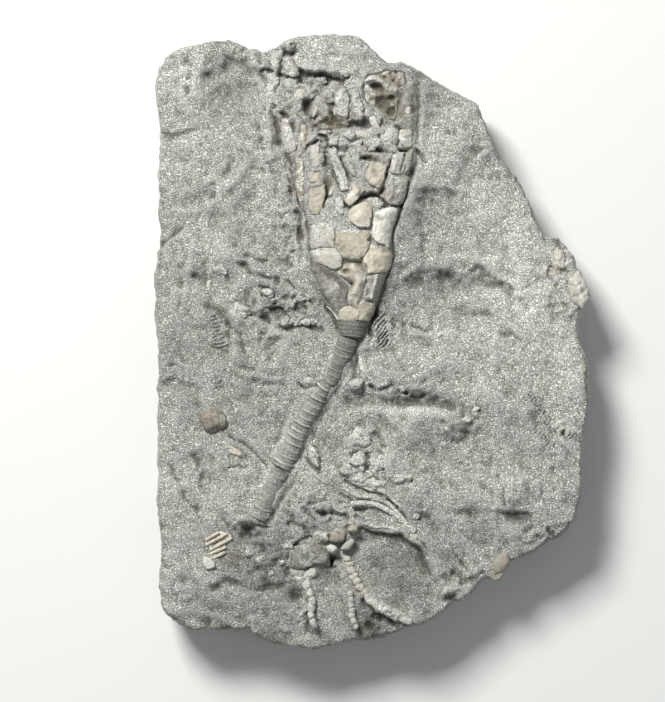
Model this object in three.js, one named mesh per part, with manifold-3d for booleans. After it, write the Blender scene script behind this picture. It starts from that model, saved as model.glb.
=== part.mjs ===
// A crinoid fossil on its slab of siltstone, lying on its flat back.
// Millimetres, +Z up out of the fossil face, +Y towards the top of the crown,
// origin under the middle of the slab, on the surface it rests on.

import * as THREE from 'three';
import { mergeVertices } from 'three/addons/utils/BufferGeometryUtils.js';
import Module from 'manifold-3d';

const wasm = await Module();
wasm.setup();

// ---------------------------------------------------------------- driving dimensions

const FACE_Z = 18.5;        // level of the split face that the fossils lie in
const WAIST_Z = 11;         // level at which the slab is widest
const FIT_GAP = 0.3;        // room left all round a fossil in its pocket
const SEAM_GAP = 0.3;       // width of the suture between two plates
const PLATE_DEPTH = 2.6;    // how far a plate reaches below the split face
const SHOULDER = 0.45;      // height and width of the worn edge round a plate
const POCKET_TOP = 40;      // pockets are open upwards to here
const GROUND_CELL = 6.6;    // spacing of the split face's grid
const STEM_RADIUS = 2.65;
const STEM_SIDES = 14;
const ARM_SIDES = 8;
const LUMP_DETAIL = 1;      // how finely lumps and beads are faceted

// Levels of the slab's side from the back up, and how far each is drawn in from the waist.
const SIDE_LEVELS = [
  { z: 0, inset: 2.6 },
  { z: 5, inset: 0.9 },
  { z: WAIST_Z, inset: 0 },
  { z: 15.5, inset: 0.5 },
  { z: POCKET_TOP, inset: 4.5 },
];
const SIDE_WAVES = 7;       // slow waves round the back edge
const SIDE_WAVE_DEPTH = 0.9;

// ---------------------------------------------------------------- finishes

const FINISHES = {
  siltstone: { color: 0x9c9f98, roughness: 0.95 },
  cream: { color: 0xc2b9a3, roughness: 0.7 },
  tan: { color: 0xb0a58d, roughness: 0.72 },
  pale: { color: 0xc4c3ba, roughness: 0.7 },
  grey: { color: 0x8e8d84, roughness: 0.78 },
  stem: { color: 0x85837a, roughness: 0.75 },
  brown: { color: 0x7d6f5a, roughness: 0.9 },
  shell: { color: 0xb9ae96, roughness: 0.6 },
};

// ------------------------------------------------------- slab outline, clockwise from the lower left corner

const LEFT_EDGE = [
  [-51.5, -63.1], [-51.7, -55], [-51.4, -48.5], [-52.1, -42.5], [-52.2, -33], [-52, -27], [-52.3, -18.5],
  [-52.4, 0.5], [-52.9, 9], [-52.7, 17.5], [-51.6, 23.3], [-51.5, 29.5], [-51.8, 39], [-51.5, 48.7],
  [-52.2, 57.8], [-52.7, 62.2],
];
const TOP_EDGE = [
  [-52, 66.6], [-50, 69.4], [-46.4, 71.3], [-40.7, 73.2], [-34.9, 73.9], [-29.4, 71.4], [-26.5, 70.5],
  [-23.4, 71.8], [-20.5, 73.5], [-14.8, 74.9], [-6.1, 74.8], [-3.1, 73.9], [1.1, 70.3], [3.7, 67.9],
  [7.6, 67.9], [11.2, 66], [16.9, 62.9], [22.7, 59.5],
];
const RIGHT_EDGE = [
  [25.8, 57.6], [27, 55], [29.6, 48.2], [31.3, 44.4], [34.7, 40.6], [37.6, 34.8], [40.4, 28.5], [42.4, 25.5],
  [45.1, 25.6], [45.6, 24.5], [47.9, 22.9], [49.1, 20.3], [50.2, 17.3], [51.8, 13.7], [52.9, 11.1],
  [51.7, 9], [50.3, 7.3], [50.3, 1], [52.6, -5.5], [52.2, -11], [52.7, -14.5], [52.2, -18.5],
  [51.2, -23], [51, -34], [50.4, -38], [49.1, -43],
];
const BOTTOM_EDGE = [
  [46.4, -45.8], [42.4, -48.7], [37.3, -51.6], [32.8, -53.6], [31.3, -56], [29.4, -57.6], [26.5, -57.9],
  [22.9, -61.7], [18.6, -64.1], [11.4, -68.9], [7.6, -69.4], [3, -71.5], [-6.1, -72.5], [-11.9, -74.2],
  [-14.8, -74.9], [-23.4, -73.2], [-29.2, -70.8], [-30, -69.3], [-40.7, -69.8], [-43.6, -70.1],
  [-48.1, -67.4], [-50, -65.6],
];
const SLAB_OUTLINE = [...LEFT_EDGE, ...TOP_EDGE, ...RIGHT_EDGE, ...BOTTOM_EDGE];

// ---------------------------------------------------------------- relief of the split face

// Each swell or hollow runs along a line, fades out over its width, and is so many millimetres high.
const RELIEF = [
  { from: [-5, 14], to: [-7, 60], width: 13, height: 1.1 },        // swell under the crown
  { from: [-20, 75], to: [-2, 74], width: 5, height: 0.8 },        // shoulder over the crown
  { from: [-33, 64], to: [-30, 58], width: 5.5, height: -1.3 },    // dished corner at the upper left
  { from: [-41, 71], to: [-45, 51], width: 2.2, height: 0.9 },     // bedding ridge beside it
  { from: [-51, 37], to: [-38, 42], width: 2.5, height: 0.9 },     // oblique ridges on the left
  { from: [-46, 30], to: [-32, 42], width: 2.5, height: 0.9 },
  { from: [17, 11], to: [32, 7], width: 5, height: -2 },           // hollow on the right of the cup
  { from: [16, 17], to: [35, 14], width: 3, height: 0.8 },         // lip over it
  { from: [0, -13.8], to: [20, -14.4], width: 2.6, height: -1.8 }, // long ledge
  { from: [-2, -22], to: [6, -30], width: 6, height: 0.9 },        // rubble on the right of the stem
  { from: [-33, 8], to: [-18, 6], width: 7, height: 0.6 },         // rubble on the left of the cup
  { from: [-30, -46], to: [-26, -47], width: 2.6, height: -2.2 },  // pit below the stem
  { from: [-8.5, -52], to: [-9.5, -53.5], width: 3, height: -2.6 }, // pit inside the second cup
  { from: [1, -51], to: [9, -54], width: 5, height: -1.8 },        // dish beside it
  { from: [-22, -60], to: [-30, -63], width: 4, height: -1.2 },
  { from: [30, -22], to: [31, -40], width: 3.5, height: 0.8 },     // upright swell on the right
  { from: [36, -13], to: [45, -23], width: 3, height: 0.7 },
];
const RIM_DROP = 1.2;       // the face falls this much towards the slab's edge
const RIM_WIDTH = 5;
const CROWN_FOOT_Y = 4;     // the crown and its bed of rock start here
const BED_DEPTH = 1.5;      // rock fills the crown to this far under its dome

function distanceToSegment(x, y, from, to) {
  const along = new THREE.Vector2(to[0] - from[0], to[1] - from[1]);
  const offset = new THREE.Vector2(x - from[0], y - from[1]);
  const share = THREE.MathUtils.clamp(offset.dot(along) / along.lengthSq(), 0, 1);
  return offset.addScaledVector(along, -share).length();
}

function distanceToRim(x, y) {
  const last = SLAB_OUTLINE.length - 1;
  const after = (i) => SLAB_OUTLINE[i === last ? 0 : i + 1];
  const gaps = SLAB_OUTLINE.map((point, i) => distanceToSegment(x, y, point, after(i)));
  return Math.min(...gaps);
}

function faceHeight(x, y) {
  let height = FACE_Z - RIM_DROP * Math.exp(-distanceToRim(x, y) / RIM_WIDTH);
  for (const feature of RELIEF) {
    const reach = distanceToSegment(x, y, feature.from, feature.to) / feature.width;
    height += feature.height * Math.exp(-reach * reach);
  }
  return y > CROWN_FOOT_Y ? Math.max(height, crownHeight(x, y) - BED_DEPTH) : height;
}

// ---------------------------------------------------------------- dome of the crown

// Half of a tapered, flattened cup stands out of the face: its middle line, half width and rise
// at each level.
const CROWN_SECTIONS = [
  { y: CROWN_FOOT_Y, middle: -4.6, half: 3.9, rise: 2.9 },
  { y: 8.2, middle: -4.3, half: 5.3, rise: 3.6 },
  { y: 13, middle: -5.3, half: 7.9, rise: 4.8 },
  { y: 17.5, middle: -5.2, half: 9.7, rise: 5.6 },
  { y: 21, middle: -4.9, half: 10.4, rise: 6 },
  { y: 26, middle: -5.2, half: 10.6, rise: 6 },
  { y: 31, middle: -4.9, half: 12, rise: 5.7 },
  { y: 37, middle: -4.6, half: 14, rise: 5.2 },
  { y: 43, middle: -4.4, half: 15.6, rise: 4.8 },
  { y: 50, middle: -5.5, half: 17, rise: 4.4 },
  { y: 57, middle: -7, half: 19, rise: 4 },
  { y: 70, middle: -8.5, half: 20, rise: 3.4 },
];

function crownHeight(x, y) {
  const count = CROWN_SECTIONS.length;
  let above = CROWN_SECTIONS.findIndex((section) => section.y > y);
  above = above < 0 ? count - 1 : Math.max(above, 1);
  const low = CROWN_SECTIONS[above - 1];
  const high = CROWN_SECTIONS[above];
  const share = THREE.MathUtils.clamp((y - low.y) / (high.y - low.y), 0, 1);
  const middle = THREE.MathUtils.lerp(low.middle, high.middle, share);
  const half = THREE.MathUtils.lerp(low.half, high.half, share);
  const rise = THREE.MathUtils.lerp(low.rise, high.rise, share);
  const across = Math.min(Math.abs(x - middle) / half, 1);
  return FACE_Z + rise * Math.sqrt(1 - across * across);
}

// ---------------------------------------------------------------- solids

function toSolid(geometry) {
  const bare = geometry.clone();
  bare.deleteAttribute('normal');
  bare.deleteAttribute('uv');
  const merged = mergeVertices(bare, 1e-5);
  return new wasm.Manifold(new wasm.Mesh({
    numProp: 3,
    vertProperties: new Float32Array(merged.attributes.position.array),
    triVerts: new Uint32Array(merged.index.array),
  }));
}

function toGeometry(solid) {
  const mesh = solid.getMesh();
  const geometry = new THREE.BufferGeometry();
  geometry.setAttribute('position', new THREE.BufferAttribute(mesh.vertProperties, 3));
  geometry.setIndex(new THREE.BufferAttribute(mesh.triVerts, 1));
  geometry.computeVertexNormals();
  return geometry;
}

function joinAll(solids) {
  return solids.reduce((sum, solid) => sum.add(solid));
}

function counterClockwise(outline) {
  const points = outline.map(([x, y]) => new THREE.Vector2(x, y));
  return THREE.ShapeUtils.isClockWise(points) ? points.reverse() : points;
}

function centreOf(points) {
  const sum = points.reduce((total, point) => total.add(point), new THREE.Vector2());
  return sum.divideScalar(points.length);
}

// Moves each corner of a counter-clockwise outline outwards by the same distance from both its edges.
function offsetOutline(points, distance) {
  return points.map((point, i) => {
    const before = points[(i + points.length - 1) % points.length];
    const after = points[(i + 1) % points.length];
    const edgeIn = point.clone().sub(before).normalize();
    const edgeOut = after.clone().sub(point).normalize();
    const outwards = new THREE.Vector2(edgeIn.y + edgeOut.y, -edgeIn.x - edgeOut.x).normalize();
    const lean = Math.max(outwards.x * edgeIn.y - outwards.y * edgeIn.x, 0.5);
    return point.clone().addScaledVector(outwards, distance / lean);
  });
}

// A drum whose rings follow outlines: ring(level, corner) gives a rim point, cap(level) the middle of an end.
function drum(sides, levels, ring, cap) {
  const geometry = new THREE.CylinderGeometry(1, 1, 1, sides, levels);
  const position = geometry.attributes.position;
  for (let i = 0; i < position.count; i += 1) {
    const x = position.getX(i);
    const z = position.getZ(i);
    const level = Math.round((position.getY(i) + 0.5) * levels);
    const corner = Math.round((Math.atan2(x, z) / (2 * Math.PI)) * sides + sides) % sides;
    const spot = Math.hypot(x, z) < 0.5 ? cap(level) : ring(level, corner);
    position.setXYZ(i, spot.x, spot.y, spot.z);
  }
  return geometry;
}

// A plate with the given outline, flat below and rounded off above, whose top follows topAt.
function plateSolid(outline, topAt, bottom) {
  const rim = offsetOutline(counterClockwise(outline), -SEAM_GAP / 2);
  const shoulder = offsetOutline(rim, -SHOULDER);
  const centre = centreOf(rim);
  const ring = (level, corner) => {
    const { x, y } = level === 2 ? shoulder[corner] : rim[corner];
    if (level === 0) return new THREE.Vector3(x, y, bottom);
    const drop = level === 1 ? SHOULDER : 0;
    return new THREE.Vector3(x, y, topAt(x, y) - drop);
  };
  const capZ = (level) => (level === 0 ? bottom : topAt(centre.x, centre.y));
  const cap = (level) => new THREE.Vector3(centre.x, centre.y, capZ(level));
  return toSolid(drum(rim.length, 2, ring, cap));
}

function platePocket(outline, bottom) {
  const rim = offsetOutline(counterClockwise(outline), FIT_GAP - SEAM_GAP / 2);
  const centre = centreOf(rim);
  const levelZ = (level) => (level === 0 ? bottom - FIT_GAP : POCKET_TOP);
  const ring = (level, corner) => new THREE.Vector3(rim[corner].x, rim[corner].y, levelZ(level));
  const cap = (level) => new THREE.Vector3(centre.x, centre.y, levelZ(level));
  return toSolid(drum(rim.length, 1, ring, cap));
}

// A rounded lump with three half-axes, turned about the upright.
function lumpSolid(centre, halves, turnDegrees, grow = 0) {
  const geometry = new THREE.OctahedronGeometry(1, LUMP_DETAIL);
  geometry.scale(halves[0] + grow, halves[1] + grow, halves[2] + grow);
  geometry.rotateZ(THREE.MathUtils.degToRad(turnDegrees));
  geometry.translate(...centre);
  return toSolid(geometry);
}

// A round bar along a smooth line through the given points.
function barSolid(points, radius, sides, steps) {
  const path = new THREE.CatmullRomCurve3(points.map((point) => new THREE.Vector3(...point)));
  const section = new THREE.Shape();
  section.absarc(0, 0, radius, 0, 2 * Math.PI);
  return toSolid(new THREE.ExtrudeGeometry(section, {
    curveSegments: sides / 2,
    steps,
    extrudePath: path,
  }));
}

// The same line, made longer at both ends, for the pocket that a bar lies in.
function lengthened(points, distance) {
  const first = new THREE.Vector3(...points[0]);
  const second = new THREE.Vector3(...points[1]);
  const last = new THREE.Vector3(...points.at(-1));
  const nextToLast = new THREE.Vector3(...points.at(-2));
  const start = first.clone().addScaledVector(first.clone().sub(second).normalize(), distance);
  const end = last.clone().addScaledVector(last.clone().sub(nextToLast).normalize(), distance);
  return [start.toArray(), ...points.slice(1, -1), end.toArray()];
}

// ---------------------------------------------------------------- the fossils

const fossils = [];

function addFossil(name, finish, solid, pocket) {
  fossils.push({ name, finish, solid, pocket });
}

// A plate of the crown: its top lies on the crown's dome, raised or sunk by lift.
function addCrownPlate(name, finish, outline, lift = 0) {
  const bottom = FACE_Z - PLATE_DEPTH;
  const topAt = (x, y) => crownHeight(x, y) + lift;
  addFossil(name, finish, plateSolid(outline, topAt, bottom), platePocket(outline, bottom));
}

// A plate on the open face: its top stands proud of the rock by rise and is crowned by swell in the middle.
function addFacePlate(name, finish, outline, rise, swell = 0.4) {
  const centre = centreOf(counterClockwise(outline));
  const reach = Math.max(...outline.map(([x, y]) => Math.hypot(x - centre.x, y - centre.y)));
  const base = faceHeight(centre.x, centre.y);
  const bottom = base - PLATE_DEPTH / 2;
  const topAt = (x, y) => base + rise + swell * (1 - (Math.hypot(x - centre.x, y - centre.y) / reach) ** 2);
  addFossil(name, finish, plateSolid(outline, topAt, bottom), platePocket(outline, bottom));
}

// A lump with its middle so far above the ground level that is given.
function addLump(name, finish, spot, halves, turn, ground) {
  const centre = [spot[0], spot[1], ground];
  const pocket = lumpSolid(centre, halves, turn, FIT_GAP);
  addFossil(name, finish, lumpSolid(centre, halves, turn), pocket);
}

function addBar(name, finish, points, radius, sides, steps) {
  const pocket = barSolid(lengthened(points, FIT_GAP), radius + FIT_GAP, sides, steps);
  addFossil(name, finish, barSolid(points, radius, sides, steps), pocket);
}

// A string of beads joined into one arm.
function addBeads(name, finish, beads) {
  const middle = ({ at, halves }) => [...at, faceHeight(...at) + halves[2] * 0.3];
  const bead = (item, grow) => lumpSolid(middle(item), item.halves, item.turn, grow);
  const solid = joinAll(beads.map((item) => bead(item, 0)));
  const pocket = joinAll(beads.map((item) => bead(item, FIT_GAP)));
  addFossil(name, finish, solid, pocket);
}

// ---------------------------------------------------------------- crown

// Corners that neighbouring plates of the cup share.
const CORNER = {
  footLeft: [-7.8, 5.4], footMiddle: [-3.5, 5.3], footRight: [-0.8, 5.4],
  baseLeft: [-8.2, 6.8], baseUpperLeft: [-7.6, 8.2], baseTip: [-5.6, 8.8], baseMiddle: [-3.5, 8],
  baseUpperMiddle: [-2.9, 9.9], baseUpperRight: [0.5, 9.6], baseRight: [0.6, 8.1],
  flankLeft1: [-9.8, 8.4], flankLeft2: [-11.6, 10.6], flankLeft3: [-13.1, 13.7], flankLeft4: [-14.3, 17],
  flankLeft5: [-14.9, 20.4], flankLeft6: [-15, 22.2],
  crushLeft1: [-6.2, 11], crushLeft2: [-5.4, 13.4], crushLeft3: [-7.1, 15.1], crushLeft4: [-9.4, 17.3],
  crushLeft5: [-12.7, 18.8], crushRight1: [-2.6, 10.8], crushRight2: [-2, 13.2], crushRight3: [-1.3, 16.5],
  shelfLeft: [-7.5, 18], shelfMiddleLeft: [-6.8, 19.8], shelfMiddleRight: [-2.5, 19.8],
  waistRight: [1, 16.6], flankRight1: [1.8, 12.7], flankRight2: [3, 15.3], flankRight3: [3.9, 17.2],
  flankRight4: [4.6, 18.8], flankRight5: [4.9, 20.9], crackRight: [4.1, 21.9], crackMiddle: [1.8, 23.1],
  crackLeft: [-0.4, 23.9], notchRight: [-1.2, 21.8],
  notchLeft: [-7.8, 21.4], ledgeLeft1: [-8.9, 22.6], ledgeLeft2: [-12.1, 22.8], ledgeLeft3: [-9, 24.2],
  panelRight: [-0.6, 26.7], panelTop: [-4.7, 27.2], panelLeft: [-8.9, 26.7],
};

function cornersOf(...names) {
  return names.map((name) => CORNER[name]);
}

addCrownPlate('base_plate_left', 'cream',
  cornersOf('footLeft', 'footMiddle', 'baseMiddle', 'baseTip', 'baseUpperLeft', 'baseLeft'));
addCrownPlate('base_plate_right', 'cream',
  cornersOf('footMiddle', 'footRight', 'baseRight', 'baseUpperRight', 'baseUpperMiddle', 'baseMiddle'));
addCrownPlate('basal_plate_left', 'grey',
  cornersOf('flankLeft5', 'flankLeft4', 'flankLeft3', 'flankLeft2', 'flankLeft1', 'baseLeft', 'baseUpperLeft',
    'baseTip', 'crushLeft1', 'crushLeft2', 'crushLeft3', 'crushLeft4', 'crushLeft5'), -0.3);
addCrownPlate('basal_plate_centre', 'tan',
  cornersOf('baseTip', 'baseMiddle', 'baseUpperMiddle', 'crushRight1', 'crushRight2', 'crushRight3',
    'shelfMiddleRight', 'shelfMiddleLeft', 'shelfLeft', 'crushLeft4', 'crushLeft3', 'crushLeft2',
    'crushLeft1'), -0.8);
addCrownPlate('basal_plate_right', 'grey',
  cornersOf('baseUpperMiddle', 'baseUpperRight', 'flankRight1', 'flankRight2', 'flankRight3', 'waistRight',
    'crushRight3', 'crushRight2', 'crushRight1'), -0.2);
addCrownPlate('radial_plate_left', 'pale',
  cornersOf('flankLeft5', 'crushLeft5', 'crushLeft4', 'shelfLeft', 'shelfMiddleLeft', 'notchLeft',
    'ledgeLeft1', 'ledgeLeft2', 'flankLeft6'), 0.2);
addCrownPlate('radial_plate_centre', 'tan',
  cornersOf('shelfMiddleLeft', 'shelfMiddleRight', 'notchRight', 'crackLeft', 'panelRight', 'panelTop',
    'panelLeft', 'ledgeLeft3', 'ledgeLeft1', 'notchLeft'), 0.2);
addCrownPlate('radial_plate_right', 'tan',
  cornersOf('crushRight3', 'waistRight', 'flankRight3', 'flankRight4', 'flankRight5', 'crackRight',
    'crackMiddle', 'crackLeft', 'notchRight', 'shelfMiddleRight'), 0.3);
addCrownPlate('radial_plate_upper_left', 'pale',
  [...cornersOf('flankLeft6', 'ledgeLeft2', 'ledgeLeft1', 'ledgeLeft3', 'panelLeft'),
    [-9.3, 28.3], [-12.1, 29], [-15, 28.3], [-15.1, 24.7]], 0);

const ARM_BASES = {
  brachial_white: { finish: 'pale', lift: 0.3, outline: [
    [-0.1, 24.6], [0.6, 24.2], [2.5, 23.1], [4.1, 22.3], [4.4, 24.7], [5, 27.6], [6.1, 31.2], [6, 32.2],
    [4.2, 32.6], [1.8, 31.7], [0.3, 31], [-0.1, 27.6]] },
  brachial_cream: { finish: 'cream', lift: 0.2, outline: [
    [-0.6, 27.5], [-0.2, 30.2], [0, 32.2], [-1.1, 33.6], [-2, 33.8], [-3, 33.4], [-5.4, 32.2], [-6.1, 30.5],
    [-5.5, 28.8], [-3, 27.5]] },
  brachial_tooth: { finish: 'cream', lift: 0.1, outline: [
    [-4.9, 38.4], [-3, 37.4], [-1.6, 36.5], [-3, 34.9], [-4, 33.7], [-5.4, 32.5], [-6.6, 33.4], [-6.8, 34.3],
    [-5.4, 36]] },
  brachial_upper: { finish: 'cream', lift: 0.1, outline: [
    [-1.1, 43], [1.8, 43.2], [3.6, 42.8], [3.2, 41], [2.6, 38.6], [1.6, 36.7], [0.4, 37], [-1.3, 38.6],
    [-1.6, 39.8]] },
};
const RIGHT_ARM = [
  { finish: 'grey', lift: 0.4, outline: [
    [4.6, 39.8], [6.6, 39.8], [8.8, 39.5], [8.3, 36.7], [7.6, 33.6], [6.4, 32.8], [3.9, 33.1], [2.8, 34.3],
    [3.1, 36.7], [3.8, 39.1]] },
  { finish: 'pale', lift: 0.4, outline: [
    [4.5, 44.9], [6.6, 45.6], [8, 45.8], [7.3, 42.7], [6.9, 40.4], [4.7, 40.3], [4, 41.2]] },
  { finish: 'grey', lift: 0.3, outline: [
    [8.5, 46.2], [10.1, 46.2], [9.5, 42.7], [8.6, 40.1], [7.4, 40.4], [7.9, 42.7]] },
  { finish: 'pale', lift: 0.3, outline: [
    [6.4, 51.1], [9.5, 51.1], [9.7, 46.9], [7.8, 46.6], [6.6, 47.5], [6.1, 49.4]] },
];
const LEFT_ARM = [
  { finish: 'cream', lift: 0, outline: [
    [-15.2, 37.3], [-12.6, 37.7], [-11.2, 38.2], [-11.2, 35.5], [-11.9, 32.4], [-12.6, 30.5], [-15.2, 30.7],
    [-15.5, 34.3]] },
  { finish: 'tan', lift: -0.1, outline: [[-15.2, 41], [-12.6, 41.3], [-12.4, 38.4], [-15.1, 37.9]] },
  { finish: 'pale', lift: 0.1, outline: [
    [-15.2, 47.3], [-12.8, 47.5], [-12.4, 43.9], [-12.8, 41.9], [-15, 41.6], [-15.2, 45.1]] },
  { finish: 'tan', lift: 0, outline: [[-17.4, 52.3], [-15.7, 52.3], [-15.5, 48.7], [-16, 46.3],
    [-17.4, 46.8]] },
  { finish: 'pale', lift: 0.2, outline: [
    [-22.2, 53.5], [-20, 53.8], [-18.8, 49.9], [-18, 46.3], [-20.3, 45.1], [-21.7, 47.5]] },
];
for (const [name, plate] of Object.entries(ARM_BASES)) {
  addCrownPlate(name, plate.finish, plate.outline, plate.lift);
}
RIGHT_ARM.forEach((plate, i) => addCrownPlate(`right_arm_${i + 1}`, plate.finish, plate.outline, plate.lift));
LEFT_ARM.forEach((plate, i) => addCrownPlate(`left_arm_${i + 1}`, plate.finish, plate.outline, plate.lift));
addCrownPlate('left_outer_arm', 'brown',
  [[-18.9, 44.6], [-16.9, 45.2], [-16.1, 41], [-16.3, 36], [-16.7, 31], [-18.2, 33.5], [-18.7, 39]], 0.1);
addCrownPlate('finger_ossicle', 'grey',
  [[-22, 68.5], [-19.3, 68.6], [-17.6, 65.5], [-17.4, 64.1], [-19.1, 63.3], [-20.6, 64.1],
    [-21.3, 66.5]], 0.8);
addCrownPlate('grey_block_left', 'grey',
  [[-9.3, 60.8], [-7.2, 62.2], [-5.7, 60.4], [-5.4, 56], [-5.9, 53.6], [-8.2, 54.2], [-9.2, 57.5]], 0);
addCrownPlate('grey_block_right', 'grey',
  [[-5.4, 60.4], [-3.4, 61], [-2.7, 58], [-1.8, 56.2], [-2, 53.6], [-4, 52.9], [-5.5, 53.6], [-5, 56]], 0.1);
addCrownPlate('brown_growth', 'brown',
  [[-1.5, 57.4], [0.9, 56], [3, 53.4], [5.6, 52.6], [6.3, 55], [6.4, 60.8], [8.4, 62.2], [8, 65], [3.2, 65.6],
    [1.8, 64.9], [-1.4, 64.2], [-2.5, 61.2]], -0.5);

const CROWN_LUMPS = [
  { name: 'right_arm_5', finish: 'cream', at: [8.5, 55.4], halves: [1, 1.5, 1.6], turn: 8 },
  { name: 'right_arm_6', finish: 'cream', at: [7.9, 59.2], halves: [0.9, 1.9, 1.6], turn: 8 },
  { name: 'cream_nodule', finish: 'cream', at: [-17.4, 59.1], halves: [1.6, 2, 1.7], turn: -12 },
  { name: 'top_nub', finish: 'cream', at: [-10.2, 65.8], halves: [1.4, 1.4, 1.3], turn: 0 },
  { name: 'white_nub', finish: 'pale', at: [0.4, 52.8], halves: [1.1, 2.1, 1.4], turn: 22 },
  { name: 'lens_plate', finish: 'cream', at: [-2.4, 49.7], halves: [2.7, 1.1, 1], turn: -10 },
  { name: 'side_lump', finish: 'grey', at: [4, 48.8], halves: [1.9, 2.1, 1.5], turn: 0 },
];
for (const lump of CROWN_LUMPS) {
  const ground = crownHeight(...lump.at) - lump.halves[2];
  addLump(lump.name, lump.finish, lump.at, lump.halves, lump.turn, ground);
}

const onCrown = ([x, y], sink) => [x, y, crownHeight(x, y) - sink];
addBar('inner_arm', 'grey',
  [[-9.6, 46], [-8.6, 42.5], [-7.4, 39.3], [-6.8, 36.5]].map((at) => onCrown(at, 1)),
  0.9, ARM_SIDES, 6);
addBar('far_left_arm', 'grey',
  [[-23.2, 63.8], [-24, 61], [-24.6, 58.4], [-24.8, 56]].map((at) => onCrown(at, 0.9)),
  1.3, ARM_SIDES, 6);

// ---------------------------------------------------------------- stem

const COLLAR_RADIUS = 3.75;
const COLLAR_LENGTH = 2.9;
const COLLAR_END = [-4.8, 5.0 - SEAM_GAP / 2];

function collarSolid(grow) {
  const ring = new THREE.CylinderGeometry(
    COLLAR_RADIUS + 0.15 + grow, COLLAR_RADIUS - 0.55 + grow, COLLAR_LENGTH + 2 * grow, STEM_SIDES, 2);
  ring.rotateZ(THREE.MathUtils.degToRad(-8));
  ring.translate(COLLAR_END[0] - 0.2, COLLAR_END[1] - COLLAR_LENGTH / 2 - 0.1, FACE_Z - 0.3);
  return toSolid(ring);
}

addFossil('proximal_collar', 'stem', collarSolid(0), collarSolid(FIT_GAP));

const STEM_LEVEL = FACE_Z - 0.4;
const onStemLine = ([x, y]) => [x, y, STEM_LEVEL];
addBar('stem_upper', 'stem', [[-5.9, 0.9], [-6.9, -2], [-7.9, -5], [-8.8, -7.6]].map(onStemLine),
  STEM_RADIUS - 0.1, STEM_SIDES, 3);
addBar('stem_middle', 'stem',
  [[-11.3, -9.4], [-13.6, -13.2], [-16.2, -18], [-19.3, -24.5], [-21.9, -29.8]].map(onStemLine),
  STEM_RADIUS, STEM_SIDES, 6);
addBar('stem_lower', 'stem', [[-22.2, -30.6], [-25.1, -37], [-27.5, -42.2]].map(onStemLine),
  STEM_RADIUS - 0.1, STEM_SIDES, 3);
addFacePlate('stem_side_plate', 'grey',
  [[-16, -25.2], [-15, -24], [-13.6, -25], [-12.6, -27.1], [-12.6, -30.5], [-14.5, -28.8],
    [-15.8, -27]], 0.7);

// ---------------------------------------------------------------- second crinoid

const LOWER_PLATES = {
  lower_cup_left: { finish: 'tan', rise: 1.2, outline: [
    [-13.2, -45.7], [-10.5, -45.2], [-10.5, -47.6], [-12.6, -47.6]] },
  lower_cup_middle: { finish: 'cream', rise: 1.7, outline: [
    [-10.4, -45], [-8.5, -45], [-6.5, -46.6], [-6.9, -47.4], [-8, -48], [-10.4, -47.6]] },
  lower_cup_right: { finish: 'cream', rise: 1.6, outline: [
    [-6.2, -44.3], [-4.7, -43.2], [-3.4, -43.9], [-3.6, -45.1], [-5.2, -45.8], [-6.1, -45.2]] },
  lower_cup_tilted: { finish: 'pale', rise: 1.9, outline: [
    [-5.4, -46.7], [-4, -47.2], [-4.6, -48.9], [-5.8, -50], [-7.7, -49.7], [-7.7, -48.9]] },
  lower_base: { finish: 'pale', rise: 1.2, outline: [
    [-17.2, -48.2], [-14.3, -47.4], [-12.1, -48.5], [-10.2, -51.1], [-11.4, -53.2], [-13.4, -53.2],
    [-17.8, -54.5], [-19.6, -54], [-19.8, -52.1], [-19.6, -49.9]] },
};
for (const [name, plate] of Object.entries(LOWER_PLATES)) {
  addFacePlate(name, plate.finish, plate.outline, plate.rise);
}
addLump('lower_cup_knob', 'pale', [-9.8, -49.4], [1.3, 1, 1.3], 0, faceHeight(-9.8, -49.4) + 1.4);
addBar('lower_stub', 'pale',
  [[-13.6, -54.7, 18.2], [-15.8, -55.7, 18], [-18.2, -56.8, 17.8]], 1.15, ARM_SIDES, 4);

addBeads('lower_arm_left', 'pale', [
  { at: [-15.6, -58.2], halves: [1, 1.2, 0.8], turn: 0 },
  { at: [-15, -60], halves: [0.8, 1.1, 0.8], turn: 10 },
  { at: [-14.6, -61.7], halves: [0.8, 1.1, 0.8], turn: 0 },
  { at: [-14.7, -63.5], halves: [0.8, 1.1, 0.8], turn: 0 },
  { at: [-14.8, -65.2], halves: [0.8, 1, 0.8], turn: 10 },
  { at: [-14.2, -67], halves: [0.8, 1.2, 0.8], turn: 25 },
]);
addBeads('lower_arm_middle', 'pale', [
  { at: [-5.3, -60.8], halves: [0.7, 1.6, 0.8], turn: 0 },
  { at: [-5, -63.2], halves: [0.7, 1.5, 0.8], turn: 5 },
  { at: [-4.7, -65.6], halves: [0.7, 1.4, 0.8], turn: 10 },
  { at: [-4.2, -67.6], halves: [0.7, 1.1, 0.8], turn: 15 },
]);
addBeads('lower_arm_right', 'cream', [
  { at: [-5.8, -52], halves: [0.9, 1.1, 1.2], turn: 0 },
  { at: [-5.3, -53.7], halves: [1, 1.2, 1.2], turn: 0 },
  { at: [-4.7, -55.5], halves: [0.9, 1.3, 0.9], turn: 15 },
  { at: [-4, -57.5], halves: [0.8, 1.2, 0.8], turn: 30 },
  { at: [-2.9, -59.3], halves: [0.9, 1.5, 0.9], turn: 40 },
  { at: [-1, -61.3], halves: [0.9, 1.6, 0.8], turn: 50 },
  { at: [1.2, -62.8], halves: [0.9, 1.6, 0.8], turn: 58 },
]);

const ARCH = [[-5.2, -38.6], [-2, -38.5], [1.2, -39], [4, -40.3], [6.4, -41.9], [8.4, -43.8], [10.2, -45.3]];
addBar('arched_arm', 'pale', ARCH.map(([x, y]) => [x, y, faceHeight(x, y) + 0.2]), 0.7, ARM_SIDES, 8);

// ---------------------------------------------------------------- shells

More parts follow.
